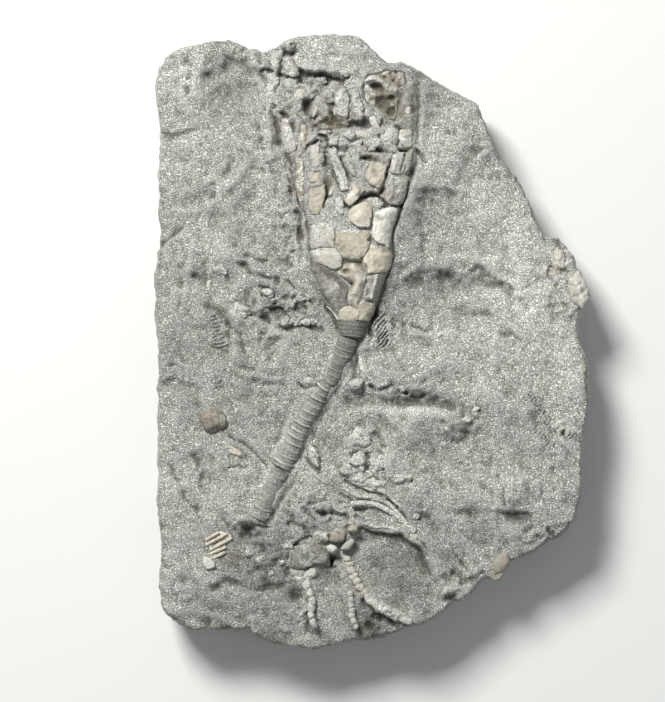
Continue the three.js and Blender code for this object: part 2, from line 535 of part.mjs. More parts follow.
const RIB_RADIUS = 0.5;
const RIB_SINK = 0.1;
const RIBS = [
  [[-39.9, -47.2], [-36.9, -45.4]], [[-40, -48.5], [-34.9, -45.7]], [[-39, -49.6], [-33.8, -46.8]],
  [[-38.9, -50.6], [-35.2, -48.9]], [[-38.2, -51.6], [-35.4, -50.2]],
];
const SHELL_OUTLINE = [[-40.6, -47.5], [-36.8, -44.9], [-33.5, -46], [-34.6, -49.6], [-38, -52],
  [-39.6, -50.6]];

function ribbedShell(grow) {
  const ground = faceHeight(-37, -48);
  const bars = RIBS.map((ends) => {
    const points = ends.map(([x, y]) => [x, y, ground + 0.9 - RIB_SINK]);
    const line = grow > 0 ? lengthened(points, grow) : points;
    return barSolid(line, RIB_RADIUS + grow, ARM_SIDES, 1);
  });
  const bottom = ground - 1;
  const shell = () => plateSolid(SHELL_OUTLINE, () => ground + 0.8, bottom);
  const bed = grow > 0 ? platePocket(SHELL_OUTLINE, bottom) : shell();
  return joinAll([bed, ...bars]);
}

addFossil('ribbed_shell', 'shell', ribbedShell(0), ribbedShell(FIT_GAP));
addLump('brown_nodule', 'brown', [-37.9, -18.6], [3.3, 3, 2.1], -20, faceHeight(-37.9, -18.6) + 0.1);
addLump('shell_fragment', 'shell', [-33.3, -25.8], [2.1, 1, 0.9], -35, faceHeight(-33.3, -25.8));
addFacePlate('edge_block', 'pale',
  [[49.9, 17.7], [48.6, 17], [47.1, 15.9], [46.7, 13.5], [47.2, 11.3], [48.1, 9.5], [49.3, 8.9], [50.6, 7.9],
    [51.4, 9], [52.6, 11.1], [51.6, 13.4]], 0.4, 0.6);

const COIL_AT = [29.6, -55.5];
const COIL_RADIUS = 1.3;
const COIL_TUBE = 0.75;

function coiledShell(grow) {
  const level = faceHeight(...COIL_AT) - 0.6;
  const whorl = new THREE.TorusGeometry(COIL_RADIUS, COIL_TUBE + grow, 6, 10);
  whorl.translate(...COIL_AT, level);
  const core = lumpSolid([...COIL_AT, level], [COIL_RADIUS, COIL_RADIUS, COIL_TUBE], 0, grow);
  const body = lumpSolid([31, -53, level - 0.2], [1.9, 2.8, 1.4], -25, grow);
  return joinAll([toSolid(whorl), core, body]);
}

addFossil('coiled_shell', 'cream', coiledShell(0), coiledShell(FIT_GAP));

// ---------------------------------------------------------------- slab

function slabBlock() {
  const rim = counterClockwise(SLAB_OUTLINE);
  const ring = (level, corner) => {
    const { x, y } = rim[corner];
    const { z, inset } = SIDE_LEVELS[level];
    const wave = level === 0 ? SIDE_WAVE_DEPTH * Math.sin(SIDE_WAVES * Math.atan2(y, x)) : 0;
    const shrink = 1 - (inset + wave) / Math.hypot(x, y);
    return new THREE.Vector3(x * shrink, y * shrink, z);
  };
  const cap = (level) => new THREE.Vector3(0, 0, SIDE_LEVELS[level].z);
  return toSolid(drum(rim.length, SIDE_LEVELS.length - 1, ring, cap));
}

function ground() {
  const width = 116;
  const length = 160;
  const depth = 30;
  const block = new THREE.BoxGeometry(
    width, length, depth, Math.round(width / GROUND_CELL), Math.round(length / GROUND_CELL), 1);
  const position = block.attributes.position;
  for (let i = 0; i < position.count; i += 1) {
    const top = position.getZ(i) > 0;
    position.setZ(i, top ? faceHeight(position.getX(i), position.getY(i)) : -depth / 2);
  }
  return toSolid(block);
}

const pockets = joinAll(fossils.map((fossil) => fossil.pocket));
const matrix = slabBlock().intersect(ground()).subtract(pockets);

// ---------------------------------------------------------------- scene graph

const specimen = new THREE.Group();

function addMesh(name, finish, solid) {
  const material = new THREE.MeshStandardMaterial({ metalness: 0, ...FINISHES[finish] });
  const mesh = new THREE.Mesh(toGeometry(solid), material);
  mesh.name = name;
  specimen.add(mesh);
}

addMesh('matrix_slab', 'siltstone', matrix);
fossils.forEach((fossil) => addMesh(fossil.name, fossil.finish, fossil.solid));

export default specimen;
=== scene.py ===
import math

import bpy
import numpy as np
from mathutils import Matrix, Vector


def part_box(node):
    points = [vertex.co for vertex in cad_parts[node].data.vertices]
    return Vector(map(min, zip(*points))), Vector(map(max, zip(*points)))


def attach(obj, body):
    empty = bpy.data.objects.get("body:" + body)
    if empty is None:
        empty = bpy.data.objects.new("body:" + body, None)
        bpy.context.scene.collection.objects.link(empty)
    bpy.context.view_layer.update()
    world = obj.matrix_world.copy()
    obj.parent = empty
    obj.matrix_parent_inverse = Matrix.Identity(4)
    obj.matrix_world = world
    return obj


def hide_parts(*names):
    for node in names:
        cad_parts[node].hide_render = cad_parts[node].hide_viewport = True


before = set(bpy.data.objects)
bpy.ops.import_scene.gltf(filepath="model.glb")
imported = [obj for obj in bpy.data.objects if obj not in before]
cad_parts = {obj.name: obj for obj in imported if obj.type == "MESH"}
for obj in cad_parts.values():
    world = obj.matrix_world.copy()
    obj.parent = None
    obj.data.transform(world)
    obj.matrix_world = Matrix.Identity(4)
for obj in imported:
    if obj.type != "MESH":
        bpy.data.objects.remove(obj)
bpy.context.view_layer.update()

bl_info = {
    "name": "Crinoid fossil on its slab",
    "version": (1, 0, 0),
    "blender": (4, 5, 0),
    "location": "3D View > Sidebar > Fossil",
    "description": "Builds a crinoid crown, stem and small shells lying in a slab of siltstone",
    "category": "Object",
}

# Lengths are in millimetres until a mesh is made: +X right, +Y to the top of the crown, +Z up out of
# the split face. The slab lies on its back at Z = 0.
MM = 0.001
FACE = 18.5            # level of the split face
WAIST = 11.0           # level where the slab is widest
RIM_INSET = 1.0        # how far the rim of the face is drawn in from the waist
RIM_DROP = 1.2         # the face falls this much towards its rim
RIM_WIDTH = 5.0        # over about this distance
RIM_CLEAR = 2.2        # the finer patches keep this far from the rim
PATCH_DIP = 0.5        # a patch dips this far under the slab's own face at its border
SLAB_CORNERS = ((-51.5, -63.1), (49.1, -43.0), (25.8, 57.6), (-52.0, 66.6))
SLAB_PROFILE = ((0, 2.6), (5, 0.9), (11, 0), (15.5, 0.5), (18.5, 1))    # level, inset from the widest ring
CUP_BED = 0.95         # rock fills the cup to this far under the crown's dome
CROWN_BED = 0.6        # and the arms to this far
POCKET_DIP = 1.3       # the rock dips this far under the top of a plate
CREVICE = 0.3          # most depth of the crevice round a plate
STEM_LEVEL = FACE - 0.4    # level of the stem's middle line
WALL_RINGS = 12        # rings down the slab's broken wall
BACK_RINGS = ((0.985, 0.05), (0.92, 0), (0.7, 0), (0.4, 0))    # share of the foot's width, lift off the floor
LEVEL_SLACK = 0.02     # CAD points this close in level count as level
WALL_LEVELS = (0.2, 0.4, 0.6, 0.8, 1.0)   # shares of a plate's depth where its wall has rings
END_RINGS = 4          # rings that close each end of a bar
CORNER_CUT = 0.14      # share of a plate's side that is cut off at its corners
WOBBLE = 0.17          # how far a plate's outline wanders

# The crown is half of a tapered cup: height up the slab, middle line, half width and rise over the face.
CROWN_ROWS = np.array([
    (4.0, -4.6, 3.9, 2.9), (8.2, -4.3, 5.3, 3.6), (13, -5.3, 7.9, 4.8), (17.5, -5.2, 9.7, 5.6),
    (21, -4.9, 10.4, 6.0), (26, -5.2, 10.6, 6.0), (31, -4.9, 12, 5.7), (37, -4.6, 14, 5.2),
    (43, -4.4, 15.6, 4.8), (50, -5.5, 17, 4.4), (57, -7, 19, 4.0), (70, -8.5, 20, 3.4)])


# -------- numbers without a pattern

def hashed(ix, iy, iz, seed):
    """A repeatable number from 0 to 1 for each whole-number corner of a lattice."""
    n = ix.astype(np.uint32) * np.uint32(0x8DA6B343)
    n = n ^ (iy.astype(np.uint32) * np.uint32(0xD8163841))
    n = n ^ (iz.astype(np.uint32) * np.uint32(0xCB1AB31F))
    n = n ^ np.uint32((seed * 2654435761) & 0xFFFFFFFF)
    n = (n ^ (n >> np.uint32(15))) * np.uint32(0x2C1B3C6D)
    n = (n ^ (n >> np.uint32(12))) * np.uint32(0x297A2D39)
    n = n ^ (n >> np.uint32(15))
    return n.astype(np.float64) / 4294967295.0


def noise(x, y, z, cell, seed):
    """Between about -1 and 1: random slopes at the corners of cubes `cell` wide, blended by an S-curve."""
    x, y, z = np.broadcast_arrays(np.asarray(x, float), np.asarray(y, float), np.asarray(z, float))
    p = [v / cell for v in (x, y, z)]
    base = [np.floor(v).astype(np.int64) for v in p]
    part = [v - b for v, b in zip(p, base)]
    ease = [f * f * f * (f * (f * 6 - 15) + 10) for f in part]
    total = np.zeros(x.shape)
    for corner in range(8):
        step = [(corner >> axis) & 1 for axis in range(3)]
        weight = np.ones(x.shape)
        slope = np.zeros(x.shape)
        cells = [b + s for b, s in zip(base, step)]
        for axis in range(3):
            weight = weight * (ease[axis] if step[axis] else 1 - ease[axis])
            slope = slope + (hashed(*cells, seed * 3 + axis) * 2 - 1) * (part[axis] - step[axis])
        total = total + weight * slope
    return total * 1.5


def rough(x, y, z, cell, layers, seed, gain=0.5):
    """Layers of noise, each half as wide as the last and `gain` times as strong."""
    total = 0.0
    for layer in range(layers):
        total = total + gain ** layer * noise(x, y, z, cell / 2 ** layer, seed + 17 * layer)
    return total


def shards(x, y, cell, layers, seed, gain=0.5, crisp=8.0):
    """Broken planes, about -1 to 1: each scattered point has a height and a slope of its own, and near
    points are blended by exp(-crisp times distance squared). Each layer is half as wide as the last."""
    total = np.zeros(x.shape)
    for layer in range(layers):
        u, v = x * 2 ** layer / cell, y * 2 ** layer / cell
        gx, gy = np.floor(u).astype(np.int64), np.floor(v).astype(np.int64)
        value, weight = np.zeros(x.shape), np.full(x.shape, 1e-9)
        for dx in (-1, 0, 1):
            for dy in (-1, 0, 1):
                corner = [hashed(gx + dx, gy + dy, gx * 0 + k, seed + layer) for k in range(5)]
                du, dv = u - gx - dx - corner[0], v - gy - dy - corner[1]
                near_by = np.exp(-crisp * (du * du + dv * dv))
                plane = corner[2] - 0.5 + 1.5 * ((corner[3] - 0.5) * du + (corner[4] - 0.5) * dv)
                value, weight = value + near_by * plane, weight + near_by
        total = total + gain ** layer * 2 * value / weight
    return total


def smoothstep(low, high, value):
    """0 below low, 1 above high and an S-shaped curve between."""
    t = np.clip((value - low) / (high - low), 0, 1)
    return t * t * (3 - 2 * t)


def smooth_max(a, b, blend):
    """The larger of two heights, rounded over where they cross within `blend`."""
    h = np.clip(0.5 + 0.5 * (a - b) / blend, 0, 1)
    return b + (a - b) * h + blend * h * (1 - h)


# -------- lines and outlines

def follow(x, y, line):
    """For each point: distance to the line, side (positive on its left) and length along it to its
    nearest spot."""
    line = np.asarray(line, float)
    best = np.full(x.shape, 1e9)
    side = np.zeros(x.shape)
    run = np.zeros(x.shape)
    start = 0.0
    for (ax, ay), (bx, by) in zip(line[:-1], line[1:]):
        ex, ey = bx - ax, by - ay
        length = math.hypot(ex, ey)
        t = np.clip(((x - ax) * ex + (y - ay) * ey) / length ** 2, 0, 1)
        gap = np.hypot(x - ax - ex * t, y - ay - ey * t)
        nearer = gap < best
        turn = (ex * (y - ay) - ey * (x - ax)) / length
        side = np.where(nearer, turn, side)
        run = np.where(nearer, start + t * length, run)
        best = np.where(nearer, gap, best)
        start += length
    return best, side, run


def inside(x, y, outline):
    """True where a point lies within a closed outline: a ray from it crosses the outline an odd number of
    times."""
    hit = np.zeros(x.shape, bool)
    for (ax, ay), (bx, by) in zip(outline, np.roll(outline, -1, axis=0)):
        if ay == by:
            continue
        crosses = ((ay > y) != (by > y)) & (x < (bx - ax) * (y - ay) / (by - ay) + ax)
        hit ^= crosses
    return hit


def lengths(line):
    """The length along a line to each of its points."""
    return np.concatenate([[0], np.cumsum(np.linalg.norm(np.diff(line, axis=0), axis=1))])


def resample(line, count, closed=False):
    """Points along a line at even lengths; a closed line stops short of its first point."""
    line = np.asarray(line, float)
    if closed:
        line = np.vstack([line, line[:1]])
    run = lengths(line)
    spots = np.linspace(0, run[-1], count, endpoint=not closed)
    return np.stack([np.interp(spots, run, part) for part in line.T], axis=1)


def rounded(outline, cut):
    """A closed outline with its corners cut off twice, each cut a share of the side."""
    for _ in range(2):
        after = np.roll(outline, -1, axis=0)
        both = np.stack([outline + (after - outline) * cut, outline + (after - outline) * (1 - cut)], axis=1)
        outline = both.reshape(-1, 2)
    return outline


def smooth_path(points, count):
    """A Catmull-Rom curve through the points, at even lengths."""
    p = np.asarray(points, float)
    p = np.vstack([2 * p[0] - p[1], p, 2 * p[-1] - p[-2]])
    t = np.linspace(0, 1, 24, endpoint=False)[:, None]
    spans = []
    for a, b, c, d in zip(p[:-3], p[1:-2], p[2:-1], p[3:]):
        spans.append(0.5 * (2 * b + (c - a) * t + (2 * a - 5 * b + 4 * c - d) * t ** 2
                            + (3 * b - a - 3 * c + d) * t ** 3))
    return resample(np.vstack(spans + [p[-2:-1]]), count)


# -------- facts from the frame

def node_vertices(node):
    """The vertices of a CAD node and its triangles, in millimetres, with doubles merged."""
    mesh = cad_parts[node].data
    flat = np.zeros(len(mesh.vertices) * 3)
    mesh.vertices.foreach_get("co", flat)
    mesh.calc_loop_triangles()
    corners = np.zeros(len(mesh.loop_triangles) * 3, int)
    mesh.loop_triangles.foreach_get("vertices", corners)
    points, merged = np.unique(np.round(flat.reshape(-1, 3) / MM, 3), axis=0, return_inverse=True)
    return points, merged.reshape(-1)[corners].reshape(-1, 3)


def underside(node):
    """The corners of a CAD plate's flat underside in order, counter-clockwise from above."""
    points, triangles = node_vertices(node)
    low = points[:, 2] < points[:, 2].min() + LEVEL_SLACK
    flat = triangles[low[triangles].all(axis=1)]
    edges = np.vstack([flat[:, [0, 1]], flat[:, [1, 2]], flat[:, [2, 0]]])
    known = {tuple(e) for e in edges.tolist()}
    following = {a: b for a, b in known if (b, a) not in known}
    first = at = next(iter(following))
    loop = []
    while True:
        loop.append(at)
        at = following[at]
        if at == first:
            break
    outline = points[loop][:, :2]
    x, y = outline.T
    area = np.sum(x * np.roll(y, -1) - y * np.roll(x, -1))
    return outline if area > 0 else outline[::-1]


def slab_outline():
    """The widest ring of the CAD slab, counter-clockwise about the origin."""
    points, _ = node_vertices("matrix_slab")
    ring = points[np.abs(points[:, 2] - WAIST) < LEVEL_SLACK][:, :2]
    return ring[np.argsort(np.arctan2(ring[:, 1], ring[:, 0]))]


def node_box(node):
    """The lowest and the highest corner of a CAD node's box, in millimetres."""
    return [np.array(corner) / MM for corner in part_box(node)]


def crown_height(x, y):
    """The dome of the crown: the face plus the rise times the root of one less the share across cubed."""
    rows = CROWN_ROWS
    middle, half, rise = (np.interp(y, rows[:, 0], rows[:, k]) for k in (1, 2, 3))
    across = np.minimum(np.abs(x - middle) / half, 1)
    return FACE + rise * np.sqrt(1 - across ** 3)


# -------- shapes

def stack_faces(rings, around, first=0):
    """Quads of rings stacked from the top down, each counter-clockwise from above."""
    i, j = np.meshgrid(np.arange(rings - 1), np.arange(around), indexing="ij")
    a = first + i * around + j
    b = first + i * around + (j + 1) % around
    return np.stack([a, a + around, b + around, b], axis=-1).reshape(-1, 4)


def closed_stack(rings):
    """Points and faces of stacked rings, closed by a fan to the middle of the first and the last."""
    count, around, _ = rings.shape
    points = np.vstack([rings.reshape(-1, 3), rings[0].mean(axis=0), rings[-1].mean(axis=0)])
    top, bottom = count * around, count * around + 1
    j = np.arange(around)
    after = (j + 1) % around
    last = (count - 1) * around
    quads = stack_faces(count, around)
    upper = np.stack([np.full(around, top), j, after], axis=1)
    lower = np.stack([np.full(around, bottom), last + after, last + j], axis=1)
    return points, quads.tolist() + upper.tolist() + lower.tolist()


def outwards(points, faces):
    """The faces, all turned round if the shape's volume comes out negative."""
    tri = np.array([(f[0], f[k], f[k + 1]) for f in faces for k in range(1, len(f) - 1)])
    a, b, c = points[tri[:, 0]], points[tri[:, 1]], points[tri[:, 2]]
    volume = np.einsum("ij,ij->i", a, np.cross(b, c)).sum()
    return faces if volume > 0 else [f[::-1] for f in faces]


def make_piece(name, slot, parts, attributes, *nodes):
    """One object from a list of (points, faces), in millimetres, in the finish of a slot, with a value per
    point for each attribute; nodes are the CAD nodes that it stands for."""
    points, faces, start = [], [], 0
    for spots, quads in parts:
        points.append(spots)
        faces += [tuple(v + start for v in f) for f in quads]
        start += len(spots)
    points = np.vstack(points)
    mesh = bpy.data.meshes.new(name)
    mesh.from_pydata((points * MM).tolist(), [], faces)
    for key, values in attributes.items():
        layer = mesh.attributes.new(key, "FLOAT", "POINT")
        layer.data.foreach_set("value", np.broadcast_to(values, len(points)).astype(np.float32))
    mesh.polygons.foreach_set("use_smooth", np.ones(len(mesh.polygons), bool))
    mesh.update()
    mesh.materials.append(finish(slot))
    piece = bpy.data.objects.new(name, mesh)
    bpy.context.scene.collection.objects.link(piece)
    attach(piece, "root")
    if nodes:
        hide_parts(*nodes)


def ball(centre, halves, turn, seed, lumpiness, around=40, rings=26):
    """An ellipsoid whose radius is changed by noise: centre + halves times direction times
    (1 + lumpiness times noise)."""
    polar = np.linspace(0, math.pi, rings + 2)[1:-1]
    angle = np.linspace(0, 2 * math.pi, around, endpoint=False)
    p, a = np.meshgrid(polar, angle, indexing="ij")
    x, y = halves[0] * np.sin(p) * np.cos(a), halves[1] * np.sin(p) * np.sin(a)
    c, s = math.cos(math.radians(turn)), math.sin(math.radians(turn))
    arms = np.stack([x * c - y * s, x * s + y * c, halves[2] * np.cos(p)], axis=-1)
    spots = arms + np.asarray(centre, float)
    grow = lumpiness * rough(*np.moveaxis(spots, -1, 0), 1.8 * min(halves), 3, seed)
    points, faces = closed_stack(spots + arms * grow[..., None])
    return points, outwards(points, faces)


def tube(path, radius, seed, around, flatten=1.0, lumpiness=0.0, mark=None):
    """A round bar along a path: radius(run, angle) gives its radius; its ends are closed by shrinking rings.
    Where mark(run, angle) is given, its value at every point comes back as well."""
    path = np.asarray(path, float)
    run = lengths(path)
    tangent = np.gradient(path, run, axis=0)
    tangent /= np.linalg.norm(tangent, axis=1)[:, None]
    side = np.cross(tangent, [0.0, 0.0, 1.0])
    side /= np.linalg.norm(side, axis=1)[:, None]
    up = np.cross(side, tangent)
    s, a = np.meshgrid(run, np.linspace(0, 2 * math.pi, around, endpoint=False), indexing="ij")
    r = radius(s, a)
    if lumpiness:
        r = r * (1 + lumpiness * rough(s, 3 * np.cos(a), 3 * np.sin(a), 1.6, 3, seed))
    rings = (path[:, None] + side[:, None] * (r * np.cos(a))[..., None]
             + up[:, None] * (r * flatten * np.sin(a))[..., None])
    shares = np.sin(np.linspace(0.12, 1, END_RINGS, endpoint=False) * math.pi / 2)
    depths = 0.35 * (1 - np.cos(np.linspace(0, math.pi / 2, END_RINGS)))[::-1]
    first = [path[0] + (rings[0] - path[0]) * share - tangent[0] * r[0].mean() * depth
             for share, depth in zip(shares, depths)]
    last = [path[-1] + (rings[-1] - path[-1]) * share + tangent[-1] * r[-1].mean() * depth
            for share, depth in zip(shares[::-1], depths[::-1])]
    points, faces = closed_stack(np.stack(first + list(rings) + last))
    faces = outwards(points, faces)
    if mark is None:
        return points, faces
    values = mark(s, a)
    values = np.pad(values, ((END_RINGS, END_RINGS), (0, 0)), mode="edge").ravel()
    return points, faces, np.append(values, values[[0, -1]])


def plate(outline, top_at, bottom, seed, bevel=0.38, bulge=0.2, grow=0.12, around=120, rows=24):
    """A plate with a worn edge: rings drawn in from the outline to its middle. Its top is top_at(x, y) plus
    a bulge that fades to the edge, broken planes, the listed marks and what rock is left on it, less a
    rounded shoulder of width `bevel` and chips out of the edge. `grow` lets the outline out, so that the
    seams nearly close."""
    rim = resample(rounded(np.asarray(outline, float), CORNER_CUT), around, closed=True)
    shift = np.stack([noise(*rim.T, level, 1.3, seed + 5) for level in (1.5, 7.5)], axis=1)
    middle = centre_of(rim)
    rim = rim + shift * WOBBLE + grow * unit(rim - middle)
    share = 1 - np.linspace(0, 1, rows, endpoint=False)[::-1] ** 1.6
    share = np.unique(np.concatenate([[0.04], share[share > 0.05], [1.0]]))
    spots = middle + (rim - middle)[None] * share[:, None, None]
    x, y = spots[..., 0], spots[..., 1]
    gap = np.where(share[:, None] >= 1, 0, follow(x, y, np.vstack([rim, rim[:1]]))[0])
    width = bevel * (1 + 0.6 * noise(x, y, 0, 1.7, seed))
    shoulder = np.sqrt(np.clip(1 - np.clip(1 - gap / width, 0, 1) ** 2, 0, 1))
    planes = 0.18 * noise(x, y, 2, 3.4, seed + 11) - 0.20 * np.abs(noise(x, y, 4, 1.9, seed + 13))
    planes = planes + 0.06 * rough(x, y, 0, 1.0, 3, seed + 9)
    planes = planes + add_mounds(add_folds(np.zeros(x.shape), x, y, PLATE_FOLDS), x, y, PLATE_MOUNDS)
    left = most(x, y, COVER, 1.1, 0.35) + 0.50 * rough(x, y, 6, 1.8, 4, seed + 17)
    left = smoothstep(0.30, 0.62, left)
    planes = planes + left * (0.07 + 0.12 * rough(x, y, 8, 0.7, 2, seed + 19))
    chip = smoothstep(0.25, 0.6, noise(x, y, 3, 1.1, seed + 31)) * np.exp(-gap / 0.6)
    z = top_at(x, y) + bulge * (1 - (1 - gap / gap.max()) ** 2) - bevel * 0.8 * (1 - shoulder) + planes
    top = np.stack([x, y, z - 0.3 * chip], axis=-1)
    out = unit(rim - middle)
    wall = []
    for level in WALL_LEVELS:
        ring = top[-1].copy()
        ring[:, 2] = ring[:, 2] * (1 - level) + bottom * level
        ring[:, :2] += out * (0.08 * noise(*ring.T, 1.0, seed + 3) - 0.1 * level)[:, None]
        wall.append(ring)
    points, faces = closed_stack(np.concatenate([top, np.stack(wall)]))
    below = len(WALL_LEVELS) * around
    # Point values: the edge value darkens each plate's rim and its whole wall towards the grime colour, which
    # is painted shade at the seams with some grime. The cavity value darkens chips and hollows with painted
    # shade and grime, and lightens the planes that stand up with rubbed wear and painted highlight.
    values = {}
    for key, given, under in (("edge", np.exp(-gap / 0.4), 1.0), ("cover", left, 0.3),
                              ("cavity", np.clip((planes - 0.6 * chip) / 0.5, -1, 1), -0.6)):
        values[key] = np.concatenate([given.ravel(), np.full(below, under), [given[0, 0], under]])
    return points, outwards(points, faces), values


def unit(arrows):
    """Arrows made one long."""
    return arrows / np.linalg.norm(arrows, axis=1)[:, None]


def centre_of(outline):
    """The middle of the area inside a closed outline."""
    x, y = outline.T
    xn, yn = np.roll(x, -1), np.roll(y, -1)
    cross = x * yn - xn * y
    return np.array([((x + xn) * cross).sum(), ((y + yn) * cross).sum()]) / (3 * cross.sum())


# -------- finishes

def add_node(tree, kind, inputs=None, **settings):
    """A node with its settings; an input takes an output to link to, a number or a colour of three parts."""
    node = tree.nodes.new("ShaderNode" + kind)
    for key, value in settings.items():
        setattr(node, key, value)
    for key, value in (inputs or {}).items():
        if isinstance(value, bpy.types.NodeSocket):
            tree.links.new(value, node.inputs[key])
        elif isinstance(value, tuple):
            node.inputs[key].default_value = (*value, 1)
        else:
            node.inputs[key].default_value = value
    return node


def noise_node(tree, place, scale, detail):
    """Noise from 0 to 1."""
    inputs = {"Vector": place, "Scale": scale, "Detail": detail, "Roughness": 0.6}
    return add_node(tree, "TexNoise", inputs).outputs["Fac"]


def maths(tree, operation, *values, clamp=False):
    """The output of a Math node."""
    return add_node(tree, "Math", dict(enumerate(values)), operation=operation, use_clamp=clamp).outputs[0]


def spread(tree, value, low, high, to_low=0.0, to_high=1.0):
    """A value stretched from low..high to to_low..to_high, held at the ends."""
    inputs = {"Value": value, "From Min": low, "From Max": high, "To Min": to_low, "To Max": to_high}
    return add_node(tree, "MapRange", inputs).outputs["Result"]


def mix_colour(tree, share, first, second):
    """The first colour with a share of the second."""
    return add_node(tree, "Mix", {0: share, 6: first, 7: second}, data_type="RGBA").outputs[2]


def attribute(tree, name):
    """The value that a piece has at each point under a name."""
    return add_node(tree, "Attribute", attribute_name=name).outputs["Fac"]


def new_group(name, output, kind, **inputs):
    """An empty node group with a Vector input, other inputs with their defaults, and one output."""
    group = bpy.data.node_groups.new(name, "ShaderNodeTree")
    group.interface.new_socket("Vector", in_out="INPUT", socket_type="NodeSocketVector")
    for label, default in inputs.items():
        colour = isinstance(default, tuple)
        socket = group.interface.new_socket(label.replace("_", " "), in_out="INPUT",
                                            socket_type="NodeSocketColor" if colour else "NodeSocketFloat")
        socket.default_value = (*default, 1) if colour else default
    group.interface.new_socket(output, in_out="OUTPUT", socket_type=kind)
    return group, group.nodes.new("NodeGroupInput").outputs, group.nodes.new("NodeGroupOutput").inputs[output]


def grain_group():
    """Crisp mineral grains: two sizes of noise with their contrast raised, as one mask."""
    group, g, result = new_group("mineral_grain", "Mask", "NodeSocketFloat", Grain_scale=1600.0,
                                 Crispness=0.12)
    fine = noise_node(group, g["Vector"], g["Grain scale"], 2.0)
    coarse = noise_node(group, g["Vector"], maths(group, "MULTIPLY", g["Grain scale"], 0.3), 3.0)
    low = maths(group, "SUBTRACT", 0.5, g["Crispness"])
    high = maths(group, "ADD", 0.5, g["Crispness"])
    crisp = maths(group, "MULTIPLY", spread(group, fine, low, high), 0.8)
    soft = maths(group, "MULTIPLY", spread(group, coarse, 0.36, 0.64), 0.2)
    group.links.new(maths(group, "ADD", crisp, soft), result)


def weathering_and_painted_light_group():
    """Grime and painted shade in the hollows and round each plate's rim, rubbed wear and painted highlight
    where the surface stands up, broad stains and a change of tone from piece to piece, which also carries
    painted light and shade.
    """
    group, g, result = new_group(
        "weathering_and_painted_light", "Colour", "NodeSocketColor", Colour=(0.5, 0.5, 0.5), Dirt_colour=(0.1, 0.1, 0.1),
        Stain_colour=(0.3, 0.25, 0.18), Cavity=0.0, Edge=0.0, Tone=0.0, Stain=0.0, Dirt=0.7, Rub=0.3,
        Stain_scale=120.0)
    broad = noise_node(group, g["Vector"], g["Stain scale"], 4.0)
    stained = maths(group, "MULTIPLY", spread(group, broad, 0.42, 0.66), g["Stain"], clamp=True)
    colour = mix_colour(group, stained, g["Colour"], g["Stain colour"])
    # Painted shade and grime: hollows (cavity below zero) are darkened towards the grime colour. Rubbed wear
    # and painted highlight: parts that stand up (cavity above zero) are lightened towards the rubbed colour.
    hollow, raised = (maths(group, "MULTIPLY", maths(group, "MULTIPLY", g["Cavity"], way, clamp=True), g[key],
                            clamp=True) for way, key in ((-1.0, "Dirt"), (1.0, "Rub")))
    colour = mix_colour(group, hollow, colour, g["Dirt colour"])
    colour = mix_colour(group, raised, colour, RUBBED_AND_HIGHLIGHT)
    # Painted shade at the seams, with some grime: each plate's rim and wall are darkened towards the grime
    # colour, in patches.
    patchy = spread(group, broad, 0.35, 0.65, 0.0, 0.35)
    rim = maths(group, "MULTIPLY", maths(group, "POWER", g["Edge"], 2.0), patchy, clamp=True)
    colour = mix_colour(group, rim, colour, g["Dirt colour"])
    # The tone scales the colour: it carries each piece's own tone and also painted light and shade.
    bright = spread(group, g["Tone"], -1.0, 1.0, 0.6, 1.4)
    tinted = add_node(group, "VectorMath", {0: colour, "Scale": bright}, operation="SCALE")
    group.links.new(tinted.outputs[0], result)


def grains(tree, place, scale, crispness):
    """The mask of the shared grain, at one scale."""
    return add_node(tree, "Group", {"Vector": place, "Grain scale": scale, "Crispness": crispness},
                    node_tree=bpy.data.node_groups["mineral_grain"]).outputs["Mask"]


def stone(slot, light, dark, shade_and_grime, stain, grain, roughness, rub_and_highlight):
    """A stone finish: grains from dark to light, weathered, and given painted shade and painted highlight, by
    the point values, and standing up as relief. In a piece that isn't rock itself, its cover value mixes in
    the rock's own grain."""
    material = bpy.data.materials.new(slot + "_finish")
    material.use_nodes = True
    tree = material.node_tree
    place = add_node(tree, "TexCoord").outputs["Object"]
    grain_scale, crispness, grain_depth = grain
    stain_colour, stain_amount, stain_scale = stain
    mask = grains(tree, place, grain_scale, crispness)
    colour = mix_colour(tree, mask, dark, light)
    if slot != "siltstone":
        rock = mix_colour(tree, grains(tree, place, ROCK_GRAIN, ROCK_CRISPNESS), ROCK_DARK, ROCK_LIGHT)
        colour = mix_colour(tree, attribute(tree, "cover"), colour, rock)
    weathered_and_lit = add_node(tree, "Group", {
        "Vector": place, "Colour": colour, "Dirt colour": shade_and_grime, "Stain colour": stain_colour, "Rub": rub_and_highlight,
        "Stain scale": stain_scale, "Stain": maths(tree, "ADD", attribute(tree, "stain"), stain_amount),
        **{key.capitalize(): attribute(tree, key) for key in ("cavity", "edge", "tone")},
    }, node_tree=bpy.data.node_groups["weathering_and_painted_light"])
    bump = add_node(tree, "Bump", {"Height": mask, "Distance": grain_depth})
    shader = tree.nodes["Principled BSDF"]
    tree.links.new(weathered_and_lit.outputs["Colour"], shader.inputs["Base Color"])
    tree.links.new(spread(tree, mask, 0, 1, roughness + 0.08, roughness - 0.08), shader.inputs["Roughness"])
    tree.links.new(bump.outputs["Normal"], shader.inputs["Normal"])
    shader.inputs["Specular IOR Level"].default_value = 0.3
    return material


ROCK_LIGHT, ROCK_DARK = (0.95, 0.965, 0.897), (0.19, 0.194, 0.173)
ROCK_GRAIN, ROCK_CRISPNESS = 3300.0, 0.10
RUBBED_AND_HIGHLIGHT = (0.72, 0.72, 0.68)    # colour of rubbed wear and of the painted highlight on parts that stand up
